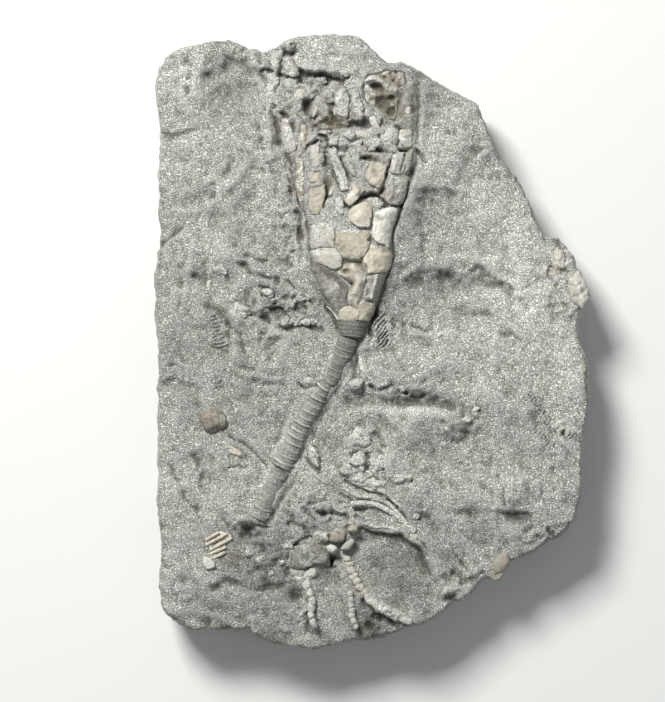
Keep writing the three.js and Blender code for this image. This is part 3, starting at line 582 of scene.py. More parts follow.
# Colours from light to dark; the colour of grime and painted shade in hollows and at rims; the stain's
# colour, amount and scale; the grain's scale, crispness and depth; how much rubbed wear and painted highlight
# the parts that stand up get.
FINISHES = {
    "siltstone": dict(
        light=ROCK_LIGHT, dark=ROCK_DARK, shade_and_grime=(0.085, 0.077, 0.055), roughness=0.92,
        stain=((0.225, 0.198, 0.135), 0.1, 140), grain=(ROCK_GRAIN, ROCK_CRISPNESS, 0.00045), rub_and_highlight=0.4),
    "cream": dict(
        light=(0.57, 0.54, 0.45), dark=(0.38, 0.355, 0.285), shade_and_grime=(0.12, 0.105, 0.08), roughness=0.65,
        stain=((0.36, 0.325, 0.245), 0.35, 260), grain=(1500, 0.2, 0.00008), rub_and_highlight=0.25),
    "tan": dict(
        light=(0.56, 0.525, 0.435), dark=(0.36, 0.33, 0.265), shade_and_grime=(0.1, 0.088, 0.066), roughness=0.7,
        stain=((0.32, 0.285, 0.215), 0.4, 300), grain=(1600, 0.18, 0.00009), rub_and_highlight=0.3),
    "pale": dict(
        light=(0.62, 0.615, 0.555), dark=(0.4, 0.395, 0.35), shade_and_grime=(0.12, 0.115, 0.095), roughness=0.68,
        stain=((0.38, 0.36, 0.3), 0.4, 280), grain=(1600, 0.18, 0.00009), rub_and_highlight=0.3),
    "grey": dict(
        light=(0.48, 0.475, 0.43), dark=(0.23, 0.227, 0.2), shade_and_grime=(0.08, 0.076, 0.062), roughness=0.75,
        stain=((0.27, 0.255, 0.215), 0.4, 250), grain=(1900, 0.15, 0.00012), rub_and_highlight=0.4),
    "stem": dict(
        light=(0.31, 0.313, 0.286), dark=(0.13, 0.132, 0.12), shade_and_grime=(0.055, 0.054, 0.047), roughness=0.65,
        stain=((0.18, 0.172, 0.14), 0.3, 180), grain=(1900, 0.15, 0.00010), rub_and_highlight=0.45),
    "brown": dict(
        light=(0.43, 0.41, 0.34), dark=(0.18, 0.163, 0.127), shade_and_grime=(0.055, 0.047, 0.034), roughness=0.85,
        stain=((0.21, 0.172, 0.112), 0.5, 330), grain=(1500, 0.13, 0.00020), rub_and_highlight=0.45),
    "shell": dict(
        light=(0.64, 0.61, 0.52), dark=(0.36, 0.335, 0.275), shade_and_grime=(0.06, 0.052, 0.04), roughness=0.55,
        stain=((0.38, 0.34, 0.25), 0.4, 260), grain=(1500, 0.2, 0.00008), rub_and_highlight=0.3),
}


def finish(slot):
    """The finish of a material slot, made the first time that it is asked for."""
    if "mineral_grain" not in bpy.data.node_groups:
        grain_group()
        weathering_and_painted_light_group()
    return bpy.data.materials.get(slot + "_finish") or stone(slot, **FINISHES[slot])


# -------- relief of the rock

# Folds of the face: width on the left, width on the right, height (below zero for a groove), then the
# line's points as x and y.
FOLDS = [
    # bedding ridges and bowl at the upper left
    (1.6, 0.7, 0.9, -38.5, 73, -41, 68.5, -42.6, 64, -43.6, 58, -44.6, 54),
    (1.2, 0.6, 0.6, -42, 71, -44.6, 66, -45.6, 61, -46, 55),
    (0.5, 0.5, -0.5, -42.6, 69.5, -44.2, 65, -44.6, 60),
    (1.3, 0.8, 0.8, -29.5, 70.5, -28.2, 64, -26.6, 57, -25.3, 50, -24.8, 45),
    (0.6, 0.5, -0.9, -28, 62, -26.6, 58.5, -25.9, 56), (0.5, 0.5, -0.9, -23.4, 54, -22.9, 51, -22.3, 47.8),
    (0.5, 0.4, 0.5, -25.2, 56.5, -24.7, 52, -24.3, 47), (0.5, 0.5, 0.5, -36, 60.2, -38, 57),
    (0.5, 1.2, -0.5, -38.8, 35.5, -36.4, 38.6, -34.8, 41.5, -34.5, 44.5),
    (1.4, 1, 0.8, -46.5, 31.4, -42.3, 31.2, -39, 33.3, -35, 37.3, -31, 41.5),
    (1.2, 0.7, 0.5, -50, 37.5, -46, 36.2, -42, 36.6, -39, 38.4),
    (0.6, 0.5, -1.2, -51.5, 23.5, -49.5, 24.5, -47.5, 26, -45.5, 27.5),
    (0.5, 0.6, 0.5, -50.5, 24, -48, 24.6, -46.5, 23),
    (0.8, 0.5, 0.55, -43, 24.5, -43.6, 19.5, -44.8, 15.5, -45.1, 10.5, -46, 6),
    (0.4, 0.6, -0.6, -44.6, 20.5, -46, 17.8), (0.4, 0.5, -0.6, -45.8, 11.2, -46.5, 8.6),
    (0.4, 0.5, 0.45, -39.4, 17, -39.2, 13),
    # winding crack and clutter left of the cup
    (0.6, 0.5, -1.3, -32.5, 19.2, -30.4, 18.6, -29.4, 16.9, -27.8, 15.8, -25.4, 15.6, -22.6, 14.8),
    (0.4, 0.4, -0.7, -30.6, 21, -28.8, 20.4, -26.8, 19.4, -25.3, 19.9),
    (0.5, 0.5, -0.4, -33.5, 24, -31.5, 23, -30, 20.5), (0.6, 0.4, -1.2, -29.2, 6.9, -26.6, 6.1, -24.6, 5.2),
    (0.4, 0.4, -0.9, -27.2, 13.6, -25.2, 13, -23.7, 11.6, -23.3, 9.5),
    (0.5, 0.7, -1.3, -22.6, 4.3, -20.4, 3.5, -17.5, 4, -15, 4, -12.4, 3.6),
    (0.4, 0.4, -0.7, -19.2, 3, -18.4, 1.6), (0.3, 0.3, -0.8, -20.1, 15, -19.1, 13.5),
    (0.6, 0.6, 0.35, -19.2, 21, -18.3, 17.4, -17.7, 14),
    (0.6, 0.6, -0.9, -39.4, 8.6, -37.4, 8.2, -35.7, 6.8, -34.7, 4.6, -34.4, 1.6),
    (0.5, 0.5, -0.9, -34.9, 4.4, -33, 3.2, -31.6, 2, -31.5, 0.2, -30.9, -1.8),
    (0.4, 0.3, -0.6, -33.2, 2, -31, 2.3), (0.3, 0.4, -0.9, -37.8, -0.6, -36.2, -1.1, -34.8, -1.9),
    (0.6, 0.4, -0.45, -46, 5.4, -43.4, 3.8, -40.5, 3.6),
    (0.5, 0.5, -0.6, -35.6, -6.8, -33, -7.2, -31, -8.6, -30, -10), (0.5, 0.6, -0.8, -31, -5.6, -28.4, -6.4),
    (0.5, 0.5, 0.5, -29, -7.8, -26, -8.6, -22.6, -8.5),
    (0.4, 0.4, -0.6, -28.6, -8.9, -25.4, -9.6, -21, -9.8),
    (0.28, 0.28, -1.2, -17.8, -9.5, -16.2, -10.8, -14.4, -10.3, -13, -10.9),
    (0.5, 0.5, -0.4, -24.6, -14.4, -26.4, -16.8),
    # lower left
    (0.5, 0.7, 0.7, -34.9, -23.2, -32.2, -24.3, -29.6, -25.9, -27.5, -28.2, -26, -30),
    (0.4, 0.35, -0.8, -34.5, -22.5, -31.8, -23.5, -29, -25.1, -26.6, -28, -25.3, -29.8),
    (0.22, 0.25, -0.9, -34.4, -29.9, -32.4, -29.6, -30.4, -29.7),
    (0.6, 0.5, -0.9, -48.5, -30, -46.6, -33.4, -45, -37.5, -42.4, -40.2, -41, -43.2),
    (0.4, 0.4, -0.5, -43.9, -33.6, -42.7, -36.8, -42.4, -39.4),
    (0.4, 0.4, 0.6, -41.7, -40.6, -40.9, -42.6, -40.6, -44.6),
    (0.5, 0.5, 0.4, -36, -38.8, -33.6, -41, -31.6, -42.4),
    (0.35, 0.3, 0.7, -34.4, -44.8, -33.4, -43.8, -32.4, -42.7),
    (0.3, 0.35, -0.9, -35.5, -42.6, -34.4, -44.6, -32.7, -45, -31, -46.4),
    (0.4, 0.4, 0.8, -32.2, -42.5, -30.4, -42, -29, -42.1, -27.6, -43.2),
    (0.3, 0.4, -1, -28.6, -43.3, -26.6, -44, -25.2, -44),
    (0.3, 0.4, -0.9, -31.4, -46.4, -30, -47.6, -28.4, -48, -26.8, -48.6),
    (0.9, 0.6, 0.4, -48.6, -46.4, -45, -45.6, -41.8, -46),
    (1.2, 0.7, 0.55, -52, -58.6, -46, -58.8, -41, -58, -38.6, -57),
    (0.6, 0.8, -1.1, -38, -58.6, -34.8, -57, -31.6, -57.6, -29, -59, -26.4, -58.8, -23, -58.4, -20.2, -56.9),
    (0.8, 0.5, 0.6, -41, -65, -37.6, -65.8, -34.4, -67.2, -31.4, -69.4),
    (0.8, 0.5, -0.5, -47.5, -66.5, -44, -66, -40, -67.6),
    # right of the crown
    (0.35, 0.35, -0.3, 10, 61.5, 9.9, 55, 9.8, 50, 10.1, 46.6),
    (0.35, 0.5, -1.3, 10.2, 46.2, 11.4, 45.2, 13, 43.3),
    (0.9, 1.2, -0.7, 8.4, 35.8, 11, 36.2, 14, 36.5, 17.4, 36, 21.5, 35.2),
    (0.8, 0.8, -0.45, 14.6, 34, 18, 32.8, 22.4, 30.6), (0.6, 0.6, -0.4, 17.4, 30.4, 21, 29, 23.6, 29.4),
    (1.2, 1.2, -0.5, 11.5, 33.5, 11.2, 29, 12.4, 25, 11.6, 21),
    (1.8, 1.6, 0.55, 13, 21, 18, 21.2, 25, 20.6, 32, 19.4, 36, 18),
    (0.8, 0.5, -0.6, 26, 39.8, 28, 40, 30.3, 39.3), (0.4, 0.4, 0.4, 26.8, 38.4, 28.6, 39, 29.8, 38.4),
    (0.8, 0.7, -0.5, 23, 43.8, 26.5, 46.6, 28.4, 46.4),
    (1, 1, -0.5, 24.6, 15.4, 29, 14.6, 33.5, 12.8, 35.2, 10), (0.5, 0.4, 0.5, 33, 4.2, 35, 2.8, 36.4, 1.4),
    (0.5, 0.5, -0.9, 31, 2.4, 33.6, 2, 35.6, 0.7), (0.6, 0.5, -0.6, 7.2, 4.4, 9.6, 4.4, 12.4, 2.9),
    (0.9, 0.9, 0.45, 7, 2.4, 10.6, 2.1, 14.6, 2.2, 18.6, 1.4),
    # the long ledge and the slit over it
    (0.9, 1.8, 0.5, -1, -16, 6, -16.6, 14, -16.4, 20, -16.6),
    (0.3, 0.5, -1.7, -0.3, -10.3, 1.4, -11, 3.2, -10.9, 4.5, -10.2),
    (0.8, 0.8, 0.7, -1.4, 0.8, 0.4, -2.2, 3.4, -4, 6, -5.2), (0.6, 0.6, 0.4, -0.8, -3.6, 1.6, -7.6),
    (0.4, 0.4, -0.7, 4.4, -9.4, 6.6, -10.4, 8.6, -12.4, 10.8, -13.2, 13, -12.4),
    (0.35, 0.35, -0.5, 5.4, -12.6, 6.6, -11.2, 7.8, -11.4),
    # upright step, feathered ridges and grooves at the right
    (0.7, 0.45, 0.5, 29.8, -24, 29.2, -31, 29.7, -38, 29.6, -49),
    (0.3, 0.6, -0.5, 30.2, -26, 30, -36, 30.3, -48), (0.25, 0.25, -0.7, 31.5, -34.6, 31.7, -39),
    (0.3, 0.3, -0.35, 34, -31, 34.2, -36), (0.3, 0.3, -0.45, 37.2, -33, 37.5, -38.6),
    (0.3, 0.3, -0.35, 40.4, -30, 40.6, -36.6), (0.3, 0.3, -0.5, 43.7, -35, 43.9, -38.8),
    (0.3, 0.3, -0.4, 46.2, -33, 46.4, -38.6), (0.8, 0.5, -0.5, 20, -38.4, 24, -38.7, 29, -38.8),
    (0.7, 0.5, 0.6, 36, -10.8, 38, -13.8, 40, -17, 43, -19.8, 46.5, -21, 51, -22.3),
    (0.6, 0.5, 0.55, 37, -18.6, 39, -21.6, 41.4, -24.4, 44.4, -26.2),
    (0.5, 0.5, 0.5, 44.4, -22.6, 47, -25.2, 50, -27.8),
    (0.4, 0.4, 0.5, 20.6, -15.6, 24.4, -14.6, 25.3, -17.4),
    (0.6, 0.5, 0.5, 18.4, -19.6, 22.6, -18.2, 25.4, -19.6),
    (0.5, 0.5, -0.7, 17, -23.4, 20.4, -24, 22.6, -22.6), (0.5, 0.5, -0.6, 16.6, -19, 19.4, -20.4),
    (0.6, 0.5, 0.5, 40, -44.6, 44.6, -43.4, 48.6, -42), (0.5, 0.5, -0.5, 39.4, -46, 42.6, -47.4),
    # folds over the second crinoid
    (0.35, 0.4, -1, -6.4, -33.2, -3.4, -34.8, -0.4, -35.5, 2.6, -36.9, 5.6, -38.8, 8.2, -42.6),
    (0.8, 0.6, 0.6, -2.6, -33.8, 0.8, -34.4, 3.2, -36, 6, -38.2, 8.6, -41.4),
    (0.35, 0.35, -0.6, 1.2, -33.2, 2.8, -34.9, 4.4, -36.8),
    (0.3, 0.3, -0.8, -7.8, -36, -5.8, -37, -4.4, -38.2),
    (0.3, 0.3, -0.6, -7.4, -37.8, -5.6, -38.2, -4.6, -39),
    (0.7, 0.6, -1.3, -13.4, -40.8, -11, -40.6, -8.6, -40.9, -6.6, -42),
    (0.35, 0.35, 0.6, -9.8, -38.2, -8.6, -39.8, -7.4, -41),
    (0.5, 0.6, -1, -20, -43.4, -16.8, -44, -15.6, -45.6),
    (0.4, 0.5, -1.1, -19.4, -49.2, -17, -47.9, -15, -46.6),
    (0.25, 0.35, -1, 12.2, -48.2, 13.3, -50.4, 13.9, -53.2),
    (0.9, 0.6, 0.6, 14.6, -52.6, 18, -53.2, 22, -52.6, 25, -54.4),
    (0.3, 0.4, -0.8, 20.2, -51, 21.6, -53.2, 23.2, -54.6),
    (0.4, 0.4, 0.8, 16.6, -60.6, 19.4, -59, 22, -58.4), (0.9, 0.9, 0.5, 15.6, -41.6, 19, -42.2, 22, -42.6),
    (0.5, 0.9, -1.2, -2.2, -61.8, 0.4, -63.8, 3, -65.6, 6.4, -68),
    (1.3, 0.7, 0.9, -0.4, -61.8, 3, -63.6, 7, -65, 10.4, -66.4),
    # flanks of the crown
    (0.7, 0.6, -1.1, -17.9, 31.5, -17.4, 28, -17.4, 25, -16.8, 22.2, -15.6, 20.4),
    (0.5, 0.5, 0.6, -16.3, 29, -16, 25, -16.2, 21.6, -15.5, 18.6),
    (0.35, 0.4, -0.9, -19.6, 36.4, -19.2, 35.2, -19.6, 33.6),
    (0.7, 0.5, -1.3, -11.2, 8.6, -9.8, 7, -8.6, 5.6, -8.4, 3.6),
    (0.8, 0.5, -1.4, 1, 9.6, 0.2, 6.4, -0.6, 4.4, -0.8, 2.2),
    # the stem's bed
    (0.9, 0.7, -1.5, -3.2, -3.4, -4.4, -5.6, -4.6, -8), (0.7, 0.6, 0.9, -2.4, 0, -2.2, -4, -1.4, -8),
    (0.45, 0.6, -0.7, -8.6, -13, -11, -16, -13, -20, -15, -24, -17, -28),
    (0.45, 0.6, -0.8, -18.2, -31.6, -20.2, -35, -22.6, -39.2, -24.6, -43),
    (0.8, 0.6, 0.5, -17.2, -13.4, -19.6, -17.4, -21.4, -22, -23.6, -26.6),
    (0.4, 0.4, -0.8, -15.6, -27.8, -14.4, -29.4, -12.8, -31),
]
# Folds of the rock that fills the crown.
CROWN_FOLDS = [
    (0.9, 0.8, -1.5, -11, 62.6, -12.2, 60.8, -14, 59, -15.4, 57.4, -16.2, 56.2),
    (1.2, 0.5, -1.7, -13, 53.4, -10, 52.7, -7, 52.2, -4.5, 52.1, -2.6, 51.8, -1.2, 51.4),
    (0.3, 0.3, -0.8, -9.2, 51.5, -7.5, 51.2),
    (0.7, 0.6, -1.2, -15.4, 56.8, -15.6, 55.2, -14.5, 54.2, -14, 52.6, -13.4, 51, -12.4, 49.8),
    (0.4, 0.4, -1.3, -12.4, 49.8, -11.2, 49.2, -10.6, 48.6, -10.2, 47.3, -9.4, 46.8, -8.6, 46.3),
    (0.8, 0.8, -1.4, -11.5, 46.4, -11, 44.3, -10.8, 42, -10.5, 40, -10.2, 38.2),
    (0.6, 0.6, -1.3, -9.3, 42.3, -9.1, 40, -8.6, 38.9, -7.8, 37.8, -7.3, 36.8),
    (0.45, 0.45, -1.3, -7.4, 44.4, -7, 42.2, -6.2, 40.6, -5.5, 39.4, -4.9, 38.5),
    (0.45, 0.5, -1.4, -11.3, 38.4, -10.9, 36, -11, 34, -11.6, 32.6),
    (0.6, 0.55, -2, -4.4, 33.6, -3.2, 34.6, -1.6, 35, 0, 35.4, 1.5, 35.1, 2.5, 34.2, 2.9, 33, 4.6, 32.8, 6.8,
     32.9), (0.45, 0.45, -1.6, 4.3, 43.2, 3.6, 41, 3.2, 39, 2.7, 37.5, 2, 36.2),
    (0.3, 0.3, -1.2, -7.2, 33.7, -6.6, 32.9, -5.8, 32.3),
    (0.45, 0.45, -1.6, 6, 49.4, 6, 47.5, 6.4, 46.3, 7.2, 45.7, 8.2, 45.9),
    (0.3, 0.3, -1, -3.5, 48.5, -2.3, 47.6, -1.3, 46.6, -0.3, 45.9),
    (0.45, 0.45, -1.5, -2.2, 44.3, -1.2, 44.1, 0.2, 43.7, 1.4, 43.4),
    (0.5, 0.5, -1.1, 0.8, 46.2, 2.5, 45.7, 4, 45.5, 5.4, 45.1),
    (0.35, 0.35, -0.8, 1.9, 49.4, 1.8, 48.3, 2.5, 47.6),
    (0.35, 0.35, -0.7, -17.7, 49, -18, 47.4, -18.6, 46.2),
    (0.3, 0.3, -1.1, -22.1, 55.4, -21, 54.6, -20, 53.9),
    (0.25, 0.25, -0.6, -21.2, 45.1, -19.8, 45.6, -18.8, 46),
    (0.3, 0.3, -0.7, -15.6, 47.3, -14.4, 48.2, -13, 48.6, -12, 48.3),
    (0.35, 0.35, 0.5, -15, 49.3, -13.6, 49.2, -12.6, 48.9),
    (0.35, 0.4, -1, -1.9, 60.6, -1.5, 58.8, -0.8, 57, 0.3, 55.6),
    (0.5, 0.5, -1.2, 6.4, 59.4, 6.5, 57.8, 6, 56), (0.3, 0.35, -0.9, 2.6, 52.9, 2, 51.6, 1.4, 50.6),
    (0.35, 0.4, -0.8, 3, 52.2, 4.6, 52.4, 5.8, 51.8, 6.6, 50.6), (0.4, 0.4, 0.7, -9.8, 46.6, -9.6, 43.6),
    (0.4, 0.4, 0.7, -8.9, 46.2, -8.6, 43.4, -8.2, 42), (0.6, 0.6, 0.6, -7.8, 42, -7.4, 40),
    (0.6, 0.6, 0.5, -6, 45, -5.8, 42, -5, 40.4), (0.4, 0.4, 0.4, -12.5, 63.5, -13.2, 61.8, -14.4, 60.6),
    (0.35, 0.35, -0.6, -9.3, 59.6, -9.1, 57.6, -8.6, 56.2),
    (0.5, 0.5, 0.6, -3.4, 62.8, -2.9, 60.5, -3.1, 58.2), (0.25, 0.25, -0.5, -9.5, 69.5, -8.3, 68.4),
]
# Scarps, where the face is lower on the right of a line: how wide the lower part is, its depth, the length
# of the fall, then the line's points.
SCARPS = [
    (5.5, 1.8, 3.6, -38, 66.5, -35.4, 69, -31.4, 69.8, -28.6, 67.4),
    (6.5, 1.9, 5, 11, 17.2, 14, 17.9, 17, 17.1, 22, 17.9, 27, 17.3, 31, 15.3, 34.5, 12.8),
    (4.5, 0.8, 3.6, 11, 14.6, 17, 14.3, 24, 15, 30, 14.2, 33, 12),
    (5.5, 1.1, 4.2, 9, 11.7, 13, 10.9, 19, 10.2, 22, 8.3, 29, 8.2, 33, 7),
    (4, 2.3, 0.9, -1.6, -44.6, 2.4, -45.6, 6.6, -45.8, 9.6, -47.4, 12, -49.4, 13.6, -53),
    (2.6, 2.6, 0.7, -17.2, 65.6, -15, 65.1, -12.6, 65, -10.8, 64.6, -9, 63.9),
    (1.3, 1.3, 0.6, -26.2, 66, -24.3, 65.7, -22.5, 65, -20.7, 64.2, -19.2, 63.5, -17.6, 64),
    (1.3, 1, 0.6, -23.2, 70.6, -21.6, 69.7, -19.9, 69.7, -18.7, 70.5),
    (2.2, 0.8, 1.2, -51, 51, -47, 50.8, -43, 51.6), (1.8, 1.2, 0.8, -24, 8.8, -22.4, 8.9, -20.8, 7.6),
    (2.6, 1, 0.8, 31.6, -40.2, 34.6, -40.4, 38, -40.6), (1.5, 0.6, 1, -50, -9, -47, -8.6, -44, -9.4),
    (5, 1.5, 3.2, -2, -11.4, 4, -11.8, 10, -12.4, 15, -13.2, 20, -14.2),
    (2.6, 0.9, 1.8, 21, -16, 14, -15.4, 6, -15.2, -1.5, -15),
]
# Mounds: middle, half widths, height (below zero for a hollow), and any turn.
MOUNDS = [
    (-34, 61, 9, 10, -1.5), (-48, 49.5, 4, 1.6, -0.6), (-36, 33.6, 4, 2.6, 0.5, 20),
    (-42.5, 16, 1.8, 1.1, -0.7), (-40.6, 19, 1.2, 1.2, -0.4), (-25, 11.9, 1.5, 1, 0.9),
    (-22.8, 7.4, 2.2, 3.2, -1.2), (-33, 7.4, 2.6, 2.4, 0.8), (-24, 2.4, 2.4, 2, 0.8),
    (-27, 8.4, 1.5, 1.1, 0.6), (-25.6, 7.2, 1, 0.8, 0.6), (-28.8, 11, 1.8, 1.3, 0.5),
    (-22.4, 4.8, 0.9, 0.7, 0.8), (-20.8, 4.7, 0.8, 0.7, 0.8), (-19.2, 4.8, 0.9, 0.7, 0.8),
    (-17.7, 4.8, 0.8, 0.7, 0.8), (-16, 4.7, 1, 0.8, 1), (-14.4, 4.5, 0.8, 0.6, 0.7),
    (-32, 5.4, 1.4, 1.6, 0.6), (-33, -3, 2.4, 2.2, 0.6), (-31, -11, 3.5, 2.6, 0.6),
    (-48.4, -5.4, 1.5, 1, -0.6), (-29.5, -45.2, 2.9, 2.3, -2.4, -15), (-28.6, -45.6, 1.1, 0.9, 1.2),
    (-27.3, -44.9, 0.9, 0.8, 0.9), (-18.6, -60.2, 2.9, 2.6, -1.5), (-23, -60.4, 1.3, 1, 0.7),
    (-26.6, -53, 1.6, 1.3, 0.8, 20), (-24.4, -51.4, 1.4, 1, 0.6), (-28, -56, 1.8, 1.3, 0.6),
    (-25.6, -57, 1.3, 0.9, -0.8, 30), (-22.4, -55, 1.7, 1.4, 0.5), (-27.4, -54.2, 1.1, 0.7, -0.9),
    (-34, -50, 3.2, 4, 0.4), (15, 54.6, 3, 1.2, -0.45), (19.4, 50.4, 2.4, 1.3, -0.5),
    (25, 46.6, 3, 1.5, -0.5), (28, 12, 4.6, 2.6, 0.8), (10.6, 2, 4, 1.6, 0.5), (26, -1.4, 3, 1.4, 0.5, -10),
    (0.8, -5.4, 3.4, 4, 0.7), (35, -42, 4, 2.6, -0.9), (24.5, -40.5, 4, 2.2, -1.1),
    (12.4, -41.6, 2.6, 1.6, -0.8), (5, -54.5, 9, 8, -2.1, -20), (-9.4, -52.6, 2.6, 2.2, -3.2),
    (-10, -56, 4.6, 3.4, -1.2), (-5.2, -40.8, 1.2, 1, 0.7), (-1, -68, 6, 5, -1.2, -20),
    (19, -61.2, 2.4, 1.3, -1.3, 20), (10.6, -41.6, 0.8, 0.8, 0.6), (-12.4, -10, 1.5, 1.1, -2.2, -10),
    (-14.9, -8.9, 0.9, 0.8, 0.9), (-3.6, -9.6, 1.9, 1.3, 1, 30), (44, 17.6, 2.4, 1.8, -1.2),
    (47, 19.6, 1.8, 1.2, 0.7, 30), (-15.6, -36.5, 3, 2, 0.3), (-12, -17, 2, 4, -0.4, -20),
    (-3, -22.6, 3, 2.4, 0.7), (-3.4, -28, 1.3, 2, 0.6), (-1, -32, 3, 1.6, 0.6), (1, -27.5, 1, 1.8, 0.5, 20),
    (8, -33, 2.2, 1.2, -0.6), (8.6, -37, 2.8, 1.6, 0.5), (22.6, -18.2, 1.4, 1, 0.6),
]
# Mounds of the rock that fills the crown.
CROWN_MOUNDS = [
    (-20.3, 71.4, 1.7, 1.4, 1.2), (-23.2, 68.2, 1.4, 2.8, 0.9), (-25.6, 67.4, 1.2, 2, 0.6),
    (-22, 60.6, 1.1, 2, 0.7), (-18.6, 62.4, 2, 1, 0.9), (-9, 62.2, 1.2, 1.1, 0.7),
    (-23.5, 57.2, 0.8, 1.4, -1.4), (-20.6, 55.4, 2, 2, -1.3), (-12.5, 57.8, 1.7, 1.3, 0.8),
    (-10.6, 56.2, 1.3, 1.1, 0.7), (-5.4, 49.9, 1.5, 1.2, 0.9), (-7.4, 47.4, 1.4, 1, 0.5),
    (-5.8, 57.5, 2.6, 4, 0.5), (-14, 62, 2.4, 1.6, -1), (-19, 51.6, 0.9, 2.4, -1),
    (-1.7, 44.3, 0.8, 0.6, -1.2), (7.3, 45.8, 1, 0.6, -1.6), (0.4, 61.4, 2, 1.1, -0.6),
    (-4.6, 70, 6, 2, 0.4), (-14, 70.6, 5, 3, 0.5), (-3, 42, 2, 2.4, -0.3), (4.6, 44, 1.4, 1.2, 0.3),
    (-11.7, 67.3, 0.7, 0.6, 0.5), (-4.2, 65.4, 1.1, 0.8, 0.4),
]
# Ribbed impressions: both ends, half width, spacing of the ribs, slant of the ribs, height.
LADDERS = [
    ((-37.6, 7.2), (-36.4, -1.2), 1.7, 0.95, 0.1, 0.55), ((-37.3, -8.8), (-37, -12.6), 1.3, 0.85, 0.0, 0.4),
    ((0.8, 7.4), (3, -0.6), 1.9, 0.95, 0.7, 0.5), ((21.6, -27.6), (22.4, -31.6), 2.2, 0.6, 0.1, 0.25),
    ((37, -12.4), (43, -19.4), 1.3, 0.8, 0.35, 0.6), ((43.4, -20.6), (50.4, -23), 1.2, 0.8, 0.35, 0.6),
    ((38.6, -20.4), (43.6, -25.2), 1.0, 0.8, 0.3, 0.5), ((-25.6, 69), (-25.5, 66), 0.7, 0.7, 0.0, 0.3),
]
# Patches of rubble: middle, half widths, height, size of the chunks, and any turn.
RUBBLE = [
    (-18, 8.6, 7, 4.6, 0.7, 1.3), (-27, 9, 6, 6, 0.6, 1.9), (-1, -27, 8, 9, 0.9, 2.6, 25),
    (-14, -41, 10, 5, 0.6, 1.4, -10), (-25, -53, 7, 8, 0.9, 2), (10, -11, 7, 3.4, 0.6, 1.4),
    (-38, -30, 7, 5, 0.5, 1.6), (20, -20, 7, 5, 0.6, 1.8), (-4, -42, 7, 3, 0.5, 1.1, -20),
    (2.5, 4, 5, 6, 0.4, 1.2), (-7, 57, 8, 8, 0.5, 1.5), (-4, 44, 5, 5, 0.5, 1.2),
    (-20, 30, 3, 16, 0.45, 1.2), (3, -68, 7, 4, 0.7, 1.5), (46, 12, 6, 9, 0.4, 1.6),
    (-27, 45, 4, 10, 0.35, 1.6), (40, -46, 7, 4, 0.6, 1.7), (20, -57, 7, 5, 0.7, 1.8, 20),
    (-18, -67, 8, 5, 0.5, 1.6), (-46, 62, 6, 12, 0.35, 2.2), (-30, 0, 8, 8, 0.4, 1.8),
    (-19, 56, 5, 9, 0.4, 1.3), (-13, 47, 4, 9, 0.6, 1.2),
]


def local_axes(x, y, place, turn=0):
    """Coordinates in an ellipse, 1 at its edge: its place is its middle and half widths, its turn is in
    degrees."""
    c, s = math.cos(math.radians(turn)), math.sin(math.radians(turn))
    dx, dy = x - place[0], y - place[1]
    return (dx * c + dy * s) / place[2], (-dx * s + dy * c) / place[3]


def most(x, y, rows, outer, inner):
    """The largest amount of the listed ellipses at each spot, each fading from `inner` to `outer`."""
    total = np.zeros(x.shape)
    for row in rows:
        a, b = local_axes(x, y, row[:4], *row[5:])
        total = np.maximum(total, row[4] * smoothstep(outer, inner, np.hypot(a, b)))
    return total


def pairs(numbers):
    """A flat row of x and y as points."""
    return np.reshape(numbers, (-1, 2)).astype(float)


def near(x, y, line, reach):
    """The places of the points that lie within a line's box grown by `reach`."""
    low, high = np.min(line, axis=0) - reach, np.max(line, axis=0) + reach
    return np.nonzero((x > low[0]) & (x < high[0]) & (y > low[1]) & (y < high[1]))


def add_folds(z, x, y, folds):
    """Adds each fold: its height times a bell curve of the distance, of its own width on either side."""
    for left, right, height, *line in folds:
        line = pairs(line)
        at = near(x, y, line, 3 * max(left, right))
        gap, side, run = follow(x[at], y[at], line)
        width = np.where(side > 0, left, right) * (1.2 + 0.7 * noise(x[at], y[at], height * 5, 2.6, 43))
        uneven = 0.8 + 0.8 * noise(run, height * 9, 0, 2.8, 41)
        z[at] += height * uneven * np.exp(-(gap / width) ** 2)
    return z


def add_mounds(z, x, y, mounds):
    """Adds each mound: its height times (1 - r squared) to the power 1.5 within its ellipse."""
    for row in mounds:
        a, b = local_axes(x, y, row[:4], *row[5:])
        z = z + row[4] * np.clip(1 - a * a - b * b, 0, 1) ** 1.5
    return z


def add_scarps(z, x, y):
    """Lowers the face on the right of each scarp, by a bell curve of the distance from it."""
    for width, depth, fall, *line in SCARPS:
        line = pairs(line)
        at = near(x, y, line, 3 * width)
        gap, side, _ = follow(x[at], y[at], line)
        side = side + 0.5 * fall * rough(x[at], y[at], 0, 5.0, 3, 47)
        z[at] -= depth * smoothstep(0.4 * fall, -0.6 * fall, side) * np.exp(-(gap / width) ** 1.5)


def add_ladders(z, x, y, wx, wy):
    """Adds each ribbed impression: a cosine along its slanted length, fading at its ends and sides."""
    for start, end, half_width, pitch, slant, height in LADDERS:
        at = near(x, y, (start, end), half_width + 1)
        length = math.hypot(*np.subtract(end, start))
        way = np.subtract(end, start) / length
        run = (wx[at] - start[0]) * way[0] + (wy[at] - start[1]) * way[1]
        across = -(wx[at] - start[0]) * way[1] + (wy[at] - start[1]) * way[0]
        held = (smoothstep(half_width, half_width * 0.6, np.abs(across)) * smoothstep(-0.5, 0.3, run)
                * smoothstep(length + 0.5, length - 0.3, run))
        z[at] += height * held * np.cos(2 * math.pi * (run + slant * across) / pitch)


def add_rubble(z, x, y):
    """Adds broken planes of each rubble patch's own size, fading at its wandering edge."""
    for row in RUBBLE:
        height, size = row[4:6]
        reach = np.hypot(*local_axes(x, y, row[:4], *row[6:])) + 0.25 * noise(x, y, 0, 3, 59)
        at = np.nonzero(reach < 1.15)
        lump = shards(x[at], y[at], size * 1.3, 2, 53 + int(size * 10))
        z[at] += 0.8 * height * lump * smoothstep(1.1, 0.4, reach[at])


